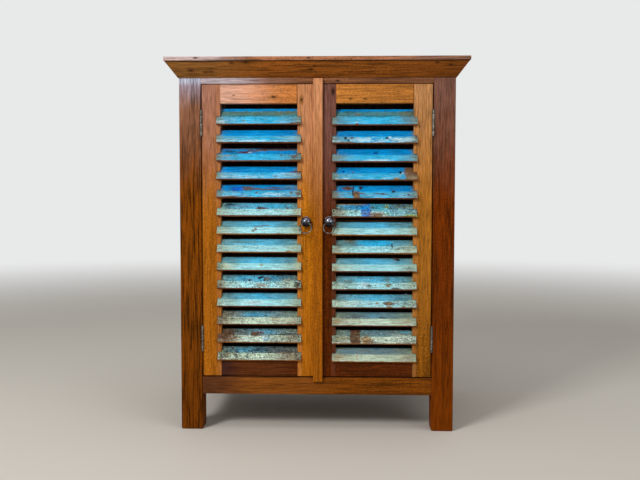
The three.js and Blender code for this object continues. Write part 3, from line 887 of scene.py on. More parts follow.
def build_slat_tree():
    """A board swept along X, worn along its front edge and turned to its slope"""
    inputs = {
        "Length": ("value", 0.2),
        "Width": ("value", 36 * MM),
        "Thickness": ("value", 6.3 * MM),
        "Rounding": ("value", 0.9 * MM),
        "Tilt": ("value", math.radians(56)),
        "Place": ("vector", (0, 0, 0)),
        "Chip depth": ("value", 1.1 * MM),
        "Edge waves": ("value", 0.7 * MM),
        "Notch": ("value", 0.88),
        "Notch depth": ("value", 0.0),
        "Steps": ("count", 110),
        "Seed": ("value", 0.0),
        "Paint": ("material", None),
        "Raw wood": ("material", None),
    }
    tree, given, out = new_group("Louvre slat", "GeometryNodeTree", inputs, {"Slat": "shape"})
    width, thickness, seed = given["Width"], given["Thickness"], given["Seed"]
    outline = step({"Width": width, "Height": thickness}, "GeometryNodeCurvePrimitiveQuadrilateral")
    corners = {0: outline, "Count": 3, "Radius": given["Rounding"]}
    outline = step(corners, "GeometryNodeFilletCurve", mode="POLY")
    outline = step({0: outline, "Count": OUTLINE_POINTS}, "GeometryNodeResampleCurve")
    line = step({"End": combined(given["Length"])}, "GeometryNodeCurvePrimitiveLine")
    line = step({0: line, "Count": given["Steps"]}, "GeometryNodeResampleCurve")
    board = step({"Curve": line, "Profile Curve": outline, "Fill Caps": True}, "GeometryNodeCurveToMesh")

    x, y, z = split(Field(add(tree, "GeometryNodeInputPosition").outputs[0]))
    along, depth = x / given["Length"], z / thickness + 0.5
    down = 0.5 - y / width
    upward = split(Field(add(tree, "GeometryNodeInputNormal").outputs[0]))[2]
    board = stored(board, "board_share", combined(along, down, depth), "FLOAT_VECTOR", "POINT")
    board = stored(board, "painted", calc("GREATER_THAN", upward, PAINTED_SLOPE), "FLOAT", "FACE")

    length_in_cm = x * 100
    spot = combined(length_in_cm, depth * 0.4)
    chips = rise(noise(spot, (0.9, 1.0, 1.0), seed, 4.0, 0.6), 0.52, 0.72) * given["Chip depth"]
    waves = noise(spot, (0.16, 1.0, 1.0), seed + 9.0, 2.0) * given["Edge waves"]
    eaten = rise(down, *FRONT_EDGE) * (chips + waves)
    off_notch = calc("ABSOLUTE", along - given["Notch"])
    notch = rise(off_notch, *NOTCH_SIDE) * given["Notch depth"]
    dents = noise(combined(length_in_cm, down * 3.6, depth), (0.8, 1.2, 1.0), seed)
    moved = combined(0.0, eaten + rise(down, *TOP_EDGE) * notch, depth * dents * -DENT_DEPTH)
    board = step({0: board, "Offset": moved}, "GeometryNodeSetPosition")
    board = step({0: board}, "GeometryNodeSetShadeSmooth")
    half = combined(0.0, width * -0.5, thickness * -0.5)
    board = step({0: board, "Translation": half}, "GeometryNodeTransform")
    turned = {0: board, "Translation": given["Place"], "Rotation": combined(given["Tilt"])}
    board = step(turned, "GeometryNodeTransform")
    fill(out, {"Slat": in_two_materials(board, given["Raw wood"], "painted", given["Paint"])})
    return tree


def stored(shape, name, value, kind, domain):
    """A shape whose points or faces keep a value by name"""
    inputs = {0: shape, "Name": name, "Value": value}
    return step(inputs, "GeometryNodeStoreNamedAttribute", data_type=kind, domain=domain)


def in_two_materials(shape, main, marked, other):
    """A real shape in one material, and in another where its faces are marked"""
    real = step({0: shape}, "GeometryNodeRealizeInstances")
    first = step({0: real, "Material": main}, "GeometryNodeSetMaterial")
    tree = shape.socket.id_data
    mark = add(tree, "GeometryNodeInputNamedAttribute", {"Name": marked}, data_type="FLOAT")
    chosen = calc("GREATER_THAN", Field(mark.outputs["Attribute"]), 0.5)
    return step({0: first, "Selection": chosen, "Material": other}, "GeometryNodeSetMaterial")


# Each slat, from the top: wear, chalking, specks, and patches (paint, along, down, half length, half height,
# strength, raggedness); the first slat's full-length dark patch is the painted shadow of the door's top rail
SLATS = {
    "left": [
        (0.15, 0.25, 0.3, [
            # the first patch is the painted shadow of the door's top rail
            ("rail_shadow", 0.5, 0.36, 2.0, 0.18, 0.9, 2.5), ("grey_green", 0.5, 0.34, 0.7, 0.13, 0.6, 5),
            ("olive", 0.5, 0.3, 0.6, 0.08, 0.3, 8), ("olive", 0.84, 0.3, 0.14, 0.12, 0.6, 6),
            ("chalk", 0.05, 0.86, 0.05, 0.1, 0.6, 7), ("ochre", 0.33, 0.78, 0.014, 0.05, 0.8, 2),
            ("bare", 0.93, 0.94, 0.07, 0.05, 0.8, 5)]),
        (0.08, 0.4, 0.15, [
            ("chalk", 0.42, 0.9, 0.2, 0.08, 0.6, 6), ("white_sky", 0.17, 0.8, 0.08, 0.12, 0.35, 8),
            ("bare", 0.655, 0.78, 0.018, 0.03, 0.9, 2), ("white_sky", 0.9, 0.74, 0.09, 0.2, 0.35, 7),
            ("chalk", 0.06, 0.9, 0.05, 0.08, 0.4, 6)]),
        (0.15, 0.08, 0.45, [
            ("dark_bare", 0.14, 0.28, 0.07, 0.06, 0.9, 2.5), ("teal", 0.2, 0.34, 0.12, 0.08, 0.6, 4),
            ("red_bare", 0.34, 0.33, 0.09, 0.08, 0.95, 3.5), ("dark_bare", 0.4, 0.22, 0.07, 0.06, 0.8, 3),
            ("chalk", 0.39, 0.35, 0.03, 0.05, 0.55, 6), ("dark_bare", 0.72, 0.08, 0.3, 0.11, 0.9, 2),
            ("bare", 0.72, 0.14, 0.3, 0.05, 0.8, 3), ("bare", 0.5, 0.2, 0.14, 0.05, 0.7, 4),
            ("bare", 0.2, 0.08, 0.24, 0.05, 0.7, 3), ("bare", 0.76, 0.55, 0.014, 0.06, 0.9, 2.5),
            ("bare", 0.915, 0.72, 0.025, 0.12, 0.9, 5), ("bare", 0.945, 0.55, 0.02, 0.1, 0.8, 6),
            ("olive", 0.93, 0.95, 0.08, 0.07, 0.8, 4), ("ochre", 0.13, 0.6, 0.03, 0.06, 0.5, 6)]),
        (0.1, 0.3, 0.3, [
            ("chalk", 0.4, 0.84, 0.22, 0.12, 0.35, 8), ("red_bare", 0.94, 0.44, 0.07, 0.06, 0.95, 2),
            ("grey_bare", 0.7, 0.78, 0.035, 0.05, 0.8, 4), ("deep_azure", 0.18, 0.3, 0.12, 0.14, 0.6, 6),
            ("bare", 0.985, 0.6, 0.03, 0.14, 0.7, 5), ("white_sky", 0.12, 0.7, 0.1, 0.2, 0.25, 8),
            ("chalk", 0.86, 0.64, 0.12, 0.12, 0.35, 7)]),
        (0.18, 0.4, 0.4, [
            ("navy", 0.23, 0.36, 0.07, 0.16, 0.9, 6), ("ultramarine", 0.26, 0.3, 0.07, 0.18, 0.8, 6),
            ("bare", 0.37, 0.3, 0.07, 0.16, 0.9, 4), ("bare", 0.46, 0.36, 0.08, 0.07, 0.9, 4),
            ("bare", 0.6, 0.38, 0.14, 0.06, 0.9, 4), ("red_bare", 0.66, 0.24, 0.1, 0.04, 0.8, 5),
            ("red_bare", 0.84, 0.34, 0.14, 0.05, 0.7, 6), ("slate_blue", 0.88, 0.2, 0.12, 0.14, 0.6, 5),
            ("ultramarine", 0.3, 0.66, 0.014, 0.26, 0.5, 5), ("bare", 0.47, 0.64, 0.014, 0.06, 0.85, 2.5),
            ("bare", 0.88, 0.62, 0.018, 0.1, 0.85, 4), ("bare", 0.97, 0.72, 0.02, 0.14, 0.8, 5),
            ("bare", 0.15, 0.98, 0.12, 0.07, 0.9, 2), ("chalk", 0.66, 0.76, 0.14, 0.1, 0.6, 7)]),
        (0.25, 0.5, 0.6, [
            ("crack", 0.14, 0.22, 0.07, 0.16, 0.8, 7), ("red_bare", 0.54, 0.42, 0.07, 0.09, 0.95, 3),
            ("dark_bare", 0.5, 0.36, 0.03, 0.06, 0.8, 3), ("red_bare", 0.835, 0.42, 0.02, 0.07, 0.95, 2),
            ("steel_blue", 0.3, 0.3, 0.16, 0.1, 0.7, 6), ("sky", 0.72, 0.3, 0.14, 0.16, 0.6, 6),
            ("cream", 0.97, 0.75, 0.05, 0.3, 0.6, 4), ("milk", 0.4, 0.75, 0.3, 0.16, 0.15, 9)]),
        (0.12, 0.4, 0.3, [
            ("grey_bare", 0.44, 0.76, 0.02, 0.1, 0.8, 4), ("grey_bare", 0.462, 0.64, 0.018, 0.12, 0.85, 4),
            ("grey_bare", 0.49, 0.47, 0.06, 0.035, 0.9, 2), ("grey_bare", 0.57, 0.38, 0.06, 0.035, 0.8, 3),
            ("olive", 0.98, 0.75, 0.014, 0.1, 0.8, 3)]),
        (0.15, 0.5, 0.3, [
            ("grey_teal", 0.38, 0.25, 0.18, 0.06, 0.7, 4), ("ochre", 0.86, 0.96, 0.03, 0.05, 0.8, 3)]),
        (0.12, 0.4, 0.3, [
            ("sand", 0.52, 0.62, 0.02, 0.07, 0.8, 3), ("cream", 0.1, 0.75, 0.08, 0.2, 0.6, 8),
            ("crack", 0.03, 0.75, 0.03, 0.3, 0.5, 12), ("crack", 0.985, 0.75, 0.01, 0.07, 0.9, 2),
            ("cream", 0.97, 0.7, 0.04, 0.3, 0.6, 6)]),
        (0.35, 0.7, 0.9, [
            ("sky", 0.3, 0.3, 0.05, 0.18, 0.6, 7), ("crack", 0.385, 0.4, 0.02, 0.08, 0.95, 2.5),
            ("crack", 0.51, 0.22, 0.04, 0.1, 0.95, 3), ("crack", 0.567, 0.4, 0.015, 0.07, 0.95, 2.5),
            ("grey_bare", 0.6, 0.3, 0.04, 0.16, 0.7, 5), ("sky", 0.66, 0.25, 0.04, 0.14, 0.5, 6),
            ("ochre", 0.54, 0.8, 0.07, 0.14, 0.6, 7), ("grey_bare", 0.03, 0.75, 0.06, 0.4, 0.6, 5),
            ("crack", 0.88, 0.5, 0.09, 0.4, 0.9, 13), ("pale_cream", 0.87, 0.66, 0.08, 0.24, 0.85, 14),
            ("dark_bare", 0.96, 0.7, 0.04, 0.26, 0.85, 6)]),
        (0.12, 0.6, 0.35, [
            ("chalk", 0.42, 0.75, 0.1, 0.16, 0.6, 7), ("grey_bare", 0.95, 0.4, 0.04, 0.06, 0.7, 4)]),
        (0.3, 0.6, 0.8, [
            ("grey_bare", 0.04, 0.75, 0.07, 0.4, 0.7, 5), ("crack", 0.42, 0.3, 0.04, 0.14, 0.7, 9),
            ("sky", 0.42, 0.3, 0.14, 0.14, 0.5, 9), ("olive", 0.18, 0.6, 0.14, 0.05, 0.6, 6),
            ("ochre", 0.7, 0.7, 0.05, 0.2, 0.45, 8), ("grey_bare", 0.12, 0.3, 0.12, 0.2, 0.6, 8)]),
        (0.35, 0.7, 1.0, [
            ("grey_bare", 0.0, 0.75, 0.24, 0.6, 0.8, 2.5), ("bare", 0.0, 0.25, 0.22, 0.5, 0.85, 2.5),
            ("dark_bare", 0.14, 0.3, 0.08, 0.14, 0.6, 7), ("red_bare", 0.12, 0.75, 0.1, 0.2, 0.4, 9),
            ("bare", 0.45, 0.42, 0.06, 0.16, 0.9, 4), ("red_bare", 0.5, 0.3, 0.06, 0.08, 0.8, 5),
            ("iron", 0.3, 0.3, 0.08, 0.2, 0.6, 8), ("sky", 0.62, 0.26, 0.06, 0.14, 0.5, 8),
            ("steel_blue", 0.575, 0.72, 0.04, 0.16, 0.8, 7), ("chalk", 0.56, 0.66, 0.03, 0.12, 0.8, 6),
            ("iron", 0.84, 0.4, 0.12, 0.08, 0.8, 5), ("crack", 0.8, 0.74, 0.1, 0.24, 0.45, 16)]),
        (0.35, 0.6, 1.1, [
            ("iron", 0.84, 0.25, 0.3, 0.3, 0.8, 2), ("crack", 0.46, 0.3, 0.12, 0.2, 0.85, 8),
            ("sky", 0.27, 0.3, 0.16, 0.2, 0.6, 12), ("crack", 0.14, 0.3, 0.08, 0.2, 0.6, 12),
            ("crack", 0.32, 0.74, 0.24, 0.3, 0.6, 15), ("pale_cream", 0.18, 0.76, 0.03, 0.2, 0.7, 8),
            ("pale_cream", 0.29, 0.74, 0.045, 0.2, 0.85, 8),
            ("pale_cream", 0.455, 0.74, 0.09, 0.22, 0.9, 8), ("crack", 0.22, 0.7, 0.01, 0.14, 0.7, 7),
            ("crack", 0.355, 0.7, 0.01, 0.14, 0.7, 7), ("grey_bare", 0.82, 0.74, 0.21, 0.3, 0.6, 3),
            ("pale_cream", 0.68, 0.7, 0.06, 0.14, 0.6, 10)]),
    ],
    "right": [
        (0.12, 0.15, 0.3, [
            # the first patch is the painted shadow of the door's top rail
            ("rail_shadow", 0.5, 0.34, 2.0, 0.18, 0.8, 2.5), ("grey_green", 0.5, 0.32, 1.0, 0.1, 0.5, 5),
            ("olive", 0.88, 0.32, 0.12, 0.14, 0.7, 6), ("grey_bare", 0.3, 0.38, 0.03, 0.08, 0.6, 4),
            ("grey_bare", 0.9, 0.62, 0.1, 0.2, 0.3, 9), ("chalk", 0.28, 0.9, 0.02, 0.06, 0.5, 5),
            ("red_bare", 0.285, 0.97, 0.018, 0.06, 0.95, 1.5)]),
        (0.1, 0.9, 0.3, [
            ("chalk", 0.4, 0.75, 0.14, 0.14, 0.6, 6), ("chalk", 0.8, 0.74, 0.18, 0.12, 0.6, 7),
            ("crack", 0.16, 0.62, 0.02, 0.09, 0.9, 4), ("crack", 0.19, 0.8, 0.014, 0.1, 0.8, 4),
            ("red_bare", 0.23, 0.6, 0.014, 0.1, 0.85, 3), ("azure", 0.5, 0.72, 0.045, 0.12, 0.8, 3.5),
            ("crack", 0.645, 0.6, 0.025, 0.08, 0.9, 4), ("chalk", 0.68, 0.54, 0.02, 0.06, 0.9, 3),
            ("bare", 0.16, 0.98, 0.1, 0.06, 0.85, 3), ("bare", 0.99, 0.6, 0.014, 0.14, 0.8, 3),
            ("olive", 0.95, 0.95, 0.12, 0.05, 0.7, 3)]),
        (0.08, 0.15, 0.15, [
            ("chalk", 0.52, 0.93, 0.18, 0.06, 0.8, 4), ("navy", 0.5, 0.3, 0.03, 0.14, 0.8, 4),
            ("deep_azure", 0.45, 0.2, 0.1, 0.1, 0.7, 4), ("grey_bare", 0.08, 0.66, 0.06, 0.2, 0.4, 12),
            ("white_sky", 0.1, 0.7, 0.1, 0.24, 0.15, 9)]),
        (0.1, 0.7, 0.3, [
            ("grey_bare", 1.0, 0.75, 0.15, 1.4, 1.0, 0.4), ("bare", 1.0, 0.25, 0.15, 0.3, 0.9, 0.8),
            ("bare", 0.95, 0.6, 0.09, 0.06, 0.8, 5), ("sand", 0.95, 0.85, 0.08, 0.1, 0.6, 5),
            ("crack", 0.81, 0.42, 0.022, 0.1, 0.95, 3), ("chalk", 0.825, 0.45, 0.014, 0.06, 0.7, 2),
            ("navy", 0.135, 0.36, 0.018, 0.08, 0.9, 2.5), ("olive", 0.25, 0.42, 0.018, 0.04, 0.9, 2),
            ("ochre", 0.75, 0.92, 0.035, 0.08, 0.9, 3), ("sky", 0.45, 0.72, 0.18, 0.16, 0.6, 8),
            ("bright_azure", 0.83, 0.8, 0.04, 0.16, 0.7, 4)]),
        (0.2, 0.5, 0.4, [
            ("bare", 0.185, 0.22, 0.065, 0.16, 0.95, 2.5), ("bare", 0.285, 0.75, 0.05, 0.34, 0.95, 2),
            ("ochre", 0.28, 0.85, 0.03, 0.12, 0.6, 5), ("bare", 0.345, 0.64, 0.05, 0.08, 0.8, 5),
            ("crack", 0.243, 0.4, 0.008, 0.4, 0.9, 2), ("dark_bare", 0.335, 0.2, 0.025, 0.14, 0.9, 3),
            ("sky", 0.29, 0.28, 0.03, 0.18, 0.7, 3), ("dark_bare", 0.72, 0.47, 0.022, 0.09, 0.95, 2.5),
            ("red_bare", 0.55, 0.64, 0.08, 0.04, 0.85, 4), ("red_bare", 0.62, 0.7, 0.05, 0.04, 0.8, 4),
            ("steel_blue", 0.45, 0.8, 0.1, 0.1, 0.6, 7), ("red_bare", 0.9, 0.72, 0.014, 0.07, 0.9, 2),
            ("grey_bare", 0.03, 0.75, 0.04, 0.24, 0.6, 7)]),
        (0.2, 0.4, 1.0, [
            ("cobalt", 0.4, 0.6, 0.062, 0.9, 0.85, 0.6), ("azure", 0.3, 0.25, 0.16, 0.2, 0.6, 4),
            ("turquoise", 0.56, 0.28, 0.1, 0.24, 0.7, 8), ("iron", 0.48, 0.3, 0.03, 0.2, 0.7, 7),
            ("leaf", 0.64, 0.22, 0.025, 0.22, 0.8, 4), ("ochre", 0.54, 0.82, 0.1, 0.18, 0.95, 4),
            ("red_bare", 0.5, 0.8, 0.07, 0.12, 0.6, 8), ("chalk", 0.53, 0.7, 0.05, 0.08, 0.25, 7),
            ("aqua", 0.63, 0.5, 0.035, 0.16, 0.8, 4), ("aqua", 0.67, 0.7, 0.035, 0.16, 0.8, 4),
            ("leaf", 0.66, 0.82, 0.03, 0.16, 0.6, 5), ("navy", 0.84, 0.34, 0.17, 0.5, 0.85, 9),
            ("leaf", 0.85, 0.3, 0.1, 0.2, 0.5, 20), ("aqua", 0.82, 0.7, 0.17, 0.24, 0.5, 13),
            ("ochre", 0.2, 0.06, 0.22, 0.06, 0.8, 3), ("leaf", 0.94, 0.93, 0.09, 0.07, 0.8, 4),
            ("olive", 0.38, 0.74, 0.035, 0.1, 0.6, 4), ("grey_bare", 0.06, 0.75, 0.08, 0.3, 0.6, 7)]),
        (0.1, 0.4, 0.25, [
            ("grey_teal", 0.78, 0.2, 0.05, 0.07, 0.7, 5)]),
        (0.2, 0.5, 0.5, [
            ("grey_teal", 0.13, 0.25, 0.16, 0.4, 0.5, 2), ("olive", 0.2, 0.2, 0.12, 0.14, 0.4, 9),
            ("vivid_sky", 0.5, 0.22, 0.205, 0.24, 0.9, 0.4), ("ochre", 0.22, 0.05, 0.08, 0.06, 0.7, 4),
            ("crack", 0.71, 0.45, 0.012, 0.2, 0.8, 3), ("cream", 0.86, 0.74, 0.14, 0.3, 0.4, 6),
            ("crack", 0.76, 0.68, 0.08, 0.05, 0.7, 6), ("crack", 0.85, 0.58, 0.08, 0.04, 0.5, 6),
            ("sand", 0.06, 0.75, 0.04, 0.24, 0.5, 8)]),
        (0.1, 0.6, 0.15, [
            ("bare", 0.77, 0.06, 0.05, 0.09, 0.9, 3), ("crack", 0.78, 0.16, 0.03, 0.05, 0.85, 4),
            ("ochre", 0.03, 0.8, 0.03, 0.18, 0.6, 7), ("crack", 0.92, 0.8, 0.05, 0.1, 0.5, 14),
            ("cream", 0.2, 0.75, 0.2, 0.2, 0.2, 9)]),
        (0.25, 0.6, 0.6, [
            ("olive", 0.18, 0.4, 0.06, 0.1, 0.6, 8), ("crack", 0.43, 0.72, 0.035, 0.12, 0.85, 6),
            ("chalk", 0.38, 0.65, 0.06, 0.2, 0.6, 9), ("olive", 0.665, 0.68, 0.03, 0.12, 0.8, 4),
            ("ochre", 0.67, 0.72, 0.016, 0.08, 0.7, 4), ("olive", 0.66, 0.3, 0.025, 0.24, 0.6, 5),
            ("dark_bare", 0.76, 0.95, 0.06, 0.07, 0.8, 4)]),
        (0.25, 0.7, 0.5, [
            ("bare", 0.67, 0.7, 0.06, 0.13, 0.95, 2.5), ("ochre", 0.68, 0.68, 0.025, 0.05, 0.6, 3),
            ("ochre", 0.53, 0.66, 0.018, 0.08, 0.9, 2.5), ("bare", 0.46, 0.76, 0.03, 0.06, 0.7, 5),
            ("ochre", 0.67, 0.96, 0.025, 0.09, 0.95, 2.5), ("ochre", 0.845, 0.94, 0.022, 0.09, 0.9, 2.5),
            ("ochre", 0.76, 0.56, 0.03, 0.05, 0.7, 4), ("steel_blue", 0.4, 0.7, 0.14, 0.16, 0.3, 9),
            ("crack", 0.88, 0.7, 0.08, 0.2, 0.4, 16), ("milk", 0.2, 0.7, 0.2, 0.2, 0.5, 8)]),
        (0.1, 0.5, 0.2, [
            ("iron", 0.28, 0.35, 0.12, 0.14, 0.7, 8), ("crack", 0.6, 0.42, 0.05, 0.06, 0.6, 6),
            ("ochre", 0.04, 0.75, 0.05, 0.24, 0.5, 7), ("sand", 0.33, 0.8, 0.02, 0.2, 0.5, 5)]),
        (0.35, 0.5, 0.85, [
            ("dark_bare", 0.275, 0.3, 0.065, 1.0, 0.75, 0.5), ("bare", 0.275, 0.75, 0.064, 1.2, 0.8, 0.4),
            ("dark_bare", 0.28, 0.8, 0.06, 0.1, 0.6, 6), ("red_bare", 0.3, 0.14, 0.06, 0.08, 0.8, 4),
            ("ochre", 0.41, 0.75, 0.07, 0.3, 0.8, 4), ("bare", 0.44, 0.86, 0.06, 0.14, 0.8, 6),
            ("olive", 0.1, 0.7, 0.1, 0.2, 0.5, 8), ("olive", 0.45, 0.3, 0.14, 0.2, 0.5, 10),
            ("sky", 0.88, 0.16, 0.06, 0.08, 0.6, 6), ("milk", 0.84, 0.7, 0.16, 0.3, 0.8, 5),
            ("crack", 0.88, 0.74, 0.06, 0.2, 0.5, 16)]),
        (0.1, 0.3, 0.2, [
            ("ochre", 0.05, 0.72, 0.07, 0.24, 0.4, 7), ("sky", 0.2, 0.3, 0.14, 0.16, 0.5, 11),
            ("grey_bare", 0.35, 0.3, 0.35, 0.16, 0.5, 13), ("sand", 0.5, 0.7, 0.4, 0.16, 0.25, 14),
            ("ochre", 0.3, 0.72, 0.02, 0.2, 0.3, 6)]),
    ],
}
LAST_BLUE_SLAT = 4
# The paint fades from blue at a door's head to worn cream at its foot: the last slat of each stretch, then the
# paints of the upper band, which are darker partly with painted shade from the slat above, and of the open lower
# band, from end to end
FADES = [
    (LAST_BLUE_SLAT, "deep_azure azure deep_azure", "slate_blue sky sky slate_blue"),
    (10, "grey_teal clear_sky grey_teal", "lichen ice ice lichen"),
    (13, "sage slate_blue sage", "sand pale_cream pale_cream sand"),
]
# How far down a slat its upper band with painted shade reaches: less far on the first slat
FIRST_SLAT_BAND = 0.2
OTHER_SLAT_BAND = 0.49
GOLDEN_EDGES = (6, 7, 12, 13)
NO_NOTCH = (0.5, 0.0)
NOTCHED_TOPS = {("right", 8): (0.75, 1.6 * MM), ("right", 10): (0.88, 2.4 * MM)}
PAINT_GLOSS = 0.04
PAINT_HEIGHT = 0.3 * MM
PAINT_ROUGHNESS = 0.5
BLUE_UPPER_CHALKING = 0.04
TONE_WANDER = 0.3
PATCH_BEND = (0.06, 0.16, 0.0)
ANY_DEPTH = 1000.0


def tones_along(along, names):
    """Named paints spread evenly along a slat"""
    names = names.split()
    ramp = add(along.socket.id_data, "ShaderNodeValToRGB", {0: along})
    stops = ramp.color_ramp.elements
    stops[0].color, stops[-1].color = PAINTS[names[0]], PAINTS[names[-1]]
    for i, name in enumerate(names[1:-1], start=1):
        stops.new(i / (len(names) - 1)).color = PAINTS[name]
    return Field(ramp.outputs[0])


def slat_paint(side, number):
    """The weathered paint of one slat"""
    wear, chalking, specks, patches = SLATS[side][number]
    upper, lower = next(paints for last, *paints in FADES if number <= last)
    blue = number <= LAST_BLUE_SLAT
    material, tree, shader = new_material(f"{side}_slat_{number + 1:02d}_paint")
    share = Field(add(tree, "ShaderNodeAttribute", attribute_name="board_share").outputs["Vector"])
    board = share * SLAT_IN_CM
    seed = 10.0 * SIDES[side] + 1.7 * number
    along = split(share)[0] + swing(noise(board, (0.5, 0.5, 0.5), seed), TONE_WANDER)
    paint = effect(tree, "Weathered paint", {
        "Share": share,
        "Upper": tones_along(along, upper),
        "Lower": tones_along(along, lower),
        "Ends": PAINTS["sage" if blue else "lichen"],
        "Band": OTHER_SLAT_BAND if number else FIRST_SLAT_BAND,
        "Wear": wear,
        "Chalking": chalking,
        "Upper chalking": BLUE_UPPER_CHALKING if blue else chalking,
        "Specks": specks,
        "Seed": seed,
    })
    bend = swing(noise(board, (0.7, 0.9, 1.0), seed + 1.0), 1.0)
    tear = swing(noise(board, (2.4, 5.0, 1.0), seed + 2.0, 5.0, 0.7), 1.0)
    bent = share + combined(bend, bend) * PATCH_BEND
    colour = mixed(paint["Strips"], paint["Color"], PAINTS["chalk"])
    for tint, middle, down, length, height, strength, ragged in patches:
        mask = effect(tree, "Patch", {
            "Share": bent, "Middle": (middle, down, 0.0), "Reach": (length, height, ANY_DEPTH),
            "Tear": tear, "Ragged": ragged,
        })["Mask"]
        colour = mixed(mask * strength, colour, PAINTS[tint])
    colour = colour * combined(paint["Shade"], paint["Shade"], paint["Shade"])
    for mask, tint in (("Flecks", "chalk"), ("Bare", "bare"), ("Marks", "dark_bare")):
        colour = mixed(paint[mask], colour, PAINTS[tint])
    fill(shader, {"Base Color": colour, "Roughness": PAINT_ROUGHNESS, "Specular IOR Level": PAINT_GLOSS})
    raise_grain(shader, paint["Height"], PAINT_HEIGHT)
    return material


class BuildSlats(bpy.types.Operator):
    """Makes the painted slats of both doors"""

    bl_idname = "cabinet.build_slats"
    bl_label = "Slats"

    def execute(self, context):
        sizes = context.scene.cabinet_slats
        tree = build_slat_tree()
        brown_edge = wood("brown_raw_edge", (122, 72, 44), "X", streaks=0.6, mottle=0.6, seed=5.5)
        golden_edge = wood("golden_raw_edge", (160, 104, 54), "X", streaks=0.6, mottle=0.6, seed=5.1)
        for side in SIDES:
            for number in range(len(SLATS[side])):
                node = f"{side}_slat_{number + 1:02d}"
                low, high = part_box(node)
                notch, notch_depth = NOTCHED_TOPS.get((side, number), NO_NOTCH)
                slat = grown(node + "_board", tree, {
                    "Length": high.x - low.x,
                    "Width": slat_width(high.z - low.z, sizes),
                    "Thickness": sizes.thickness,
                    "Rounding": sizes.ease,
                    "Tilt": sizes.tilt,
                    "Place": (low.x, high.y - sizes.thickness * math.sin(sizes.tilt), high.z),
                    "Chip depth": sizes.chips,
                    "Edge waves": sizes.waves,
                    "Notch": notch,
                    "Notch depth": notch_depth,
                    "Steps": sizes.steps,
                    "Seed": 3.0 * number + (50.0 if side == "right" else 0.0),
                    "Paint": slat_paint(side, number),
                    "Raw wood": golden_edge if number in GOLDEN_EDGES else brown_edge,
                })
                stand_for(slat, node)
        return {"FINISHED"}


def slat_width(height, sizes):
    """A slat's width down its slope, from the height of its box"""
    flat = (sizes.thickness - sizes.corner) * math.cos(sizes.tilt)
    return (height - flat) / math.sin(sizes.tilt)


# Hinges

HINGE_KNUCKLES = 3
HINGE_CLEARANCE = 0.35 * MM
LEAF_THICKNESS = 1.4 * MM
LEAF_GAP = 0.4 * MM
LEAF_WIDTH = 17 * MM
LEAF_EASE = 0.35 * MM
WEB_DEPTH = 3.5 * MM
WEB_EASE = 0.1 * MM
BARREL_RADIUS = 2.5 * MM
BARREL_EASE = 0.3 * MM
PIN_RADIUS = 1.1 * MM
PIN_SIDES = 20
PIN_STUB = 0.4 * MM
PIN_HEAD = 1 * MM
PIN_HEAD_PROFILE = [(1.9 * MM, 0.1 * MM), (1.9 * MM, 0.5 * MM), (1.5 * MM, 0.85 * MM), (0.6 * MM, PIN_HEAD)]
SCREWS_TO_A_LEAF = 3
SCREW_INSET = 8 * MM
SCREW_HEIGHT = 0.04 * MM
SCREW_SINK = 0.1 * MM


def lathe(shape, profile, centre, axis="Z", segments=32):
    """A closed turned form from (radius, height) pairs, along Z or out to the front"""
    rings = []
    for radius, height in profile:
        ring = []
        for i in range(segments):
            angle = 2 * math.pi * i / segments
            across, ahead = radius * math.cos(angle), radius * math.sin(angle)
            spot = (across, ahead, height) if axis == "Z" else (across, -height, ahead)
            ring.append(shape.verts.new(Vector(spot) + centre))
        rings.append(ring)
    for lower, upper in zip(rings, rings[1:]):
        for i in range(segments):
            j = (i + 1) % segments
            shape.faces.new((lower[i], lower[j], upper[j], upper[i]))
    shape.faces.new(list(reversed(rings[0])))
    shape.faces.new(rings[-1])


def rounded_bar(shape, low, high, width):
    """A box between two corners, with eased edges"""
    made = bmesh.ops.create_cube(shape, size=1)["verts"]
    for vert in made:
        vert.co = Vector([low[i] if vert.co[i] < 0 else high[i] for i in range(3)])
    edges = list({edge for vert in made for edge in vert.link_edges})
    round_off(shape, edges, width, 2, True)


def fixed_leaf(side, level, steel):
    """The leaf on the leg, with its two knuckles, the pin and the pin's heads"""
    node = f"{side}_{level}_hinge"
    low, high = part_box(node)
    bottom, top = low.z + PIN_HEAD, high.z - PIN_HEAD
    pin = PINS[side + "_door_hinge"]
    centre = Vector((pin.x, pin.y, 0))
    inner, outer = LEAF_GAP / 2, LEAF_GAP / 2 + LEAF_THICKNESS
    near, far = sorted((pin.x + SIDES[side] * inner, pin.x + SIDES[side] * outer))
    shape = bmesh.new()
    step_up = (top - bottom) / HINGE_KNUCKLES
    for index in range(0, HINGE_KNUCKLES, 2):
        start = bottom + index * step_up + HINGE_CLEARANCE / 2
        end = start + step_up - HINGE_CLEARANCE
        lathe(shape, [
            (BARREL_RADIUS - BARREL_EASE, start), (BARREL_RADIUS, start + BARREL_EASE),
            (BARREL_RADIUS, end - BARREL_EASE), (BARREL_RADIUS - BARREL_EASE, end),
        ], centre)
        rounded_bar(shape, (near, pin.y, start), (far, pin.y + WEB_DEPTH, end), WEB_EASE)
    rod = [(PIN_RADIUS, bottom - PIN_STUB), (PIN_RADIUS, top + PIN_STUB)]
    foot = [(radius, bottom - height) for radius, height in reversed(PIN_HEAD_PROFILE)]
    head = [(radius, top + height) for radius, height in PIN_HEAD_PROFILE]
    for profile in (rod, foot, head):
        lathe(shape, profile, centre, segments=PIN_SIDES)
    rounded_bar(shape, (near, high.y - LEAF_WIDTH, bottom), (far, high.y, top), LEAF_EASE)
    bmesh.ops.recalc_face_normals(shape, faces=shape.faces[:])
    return stand_for(mesh_object(node + "_leaf", shape, steel), node)


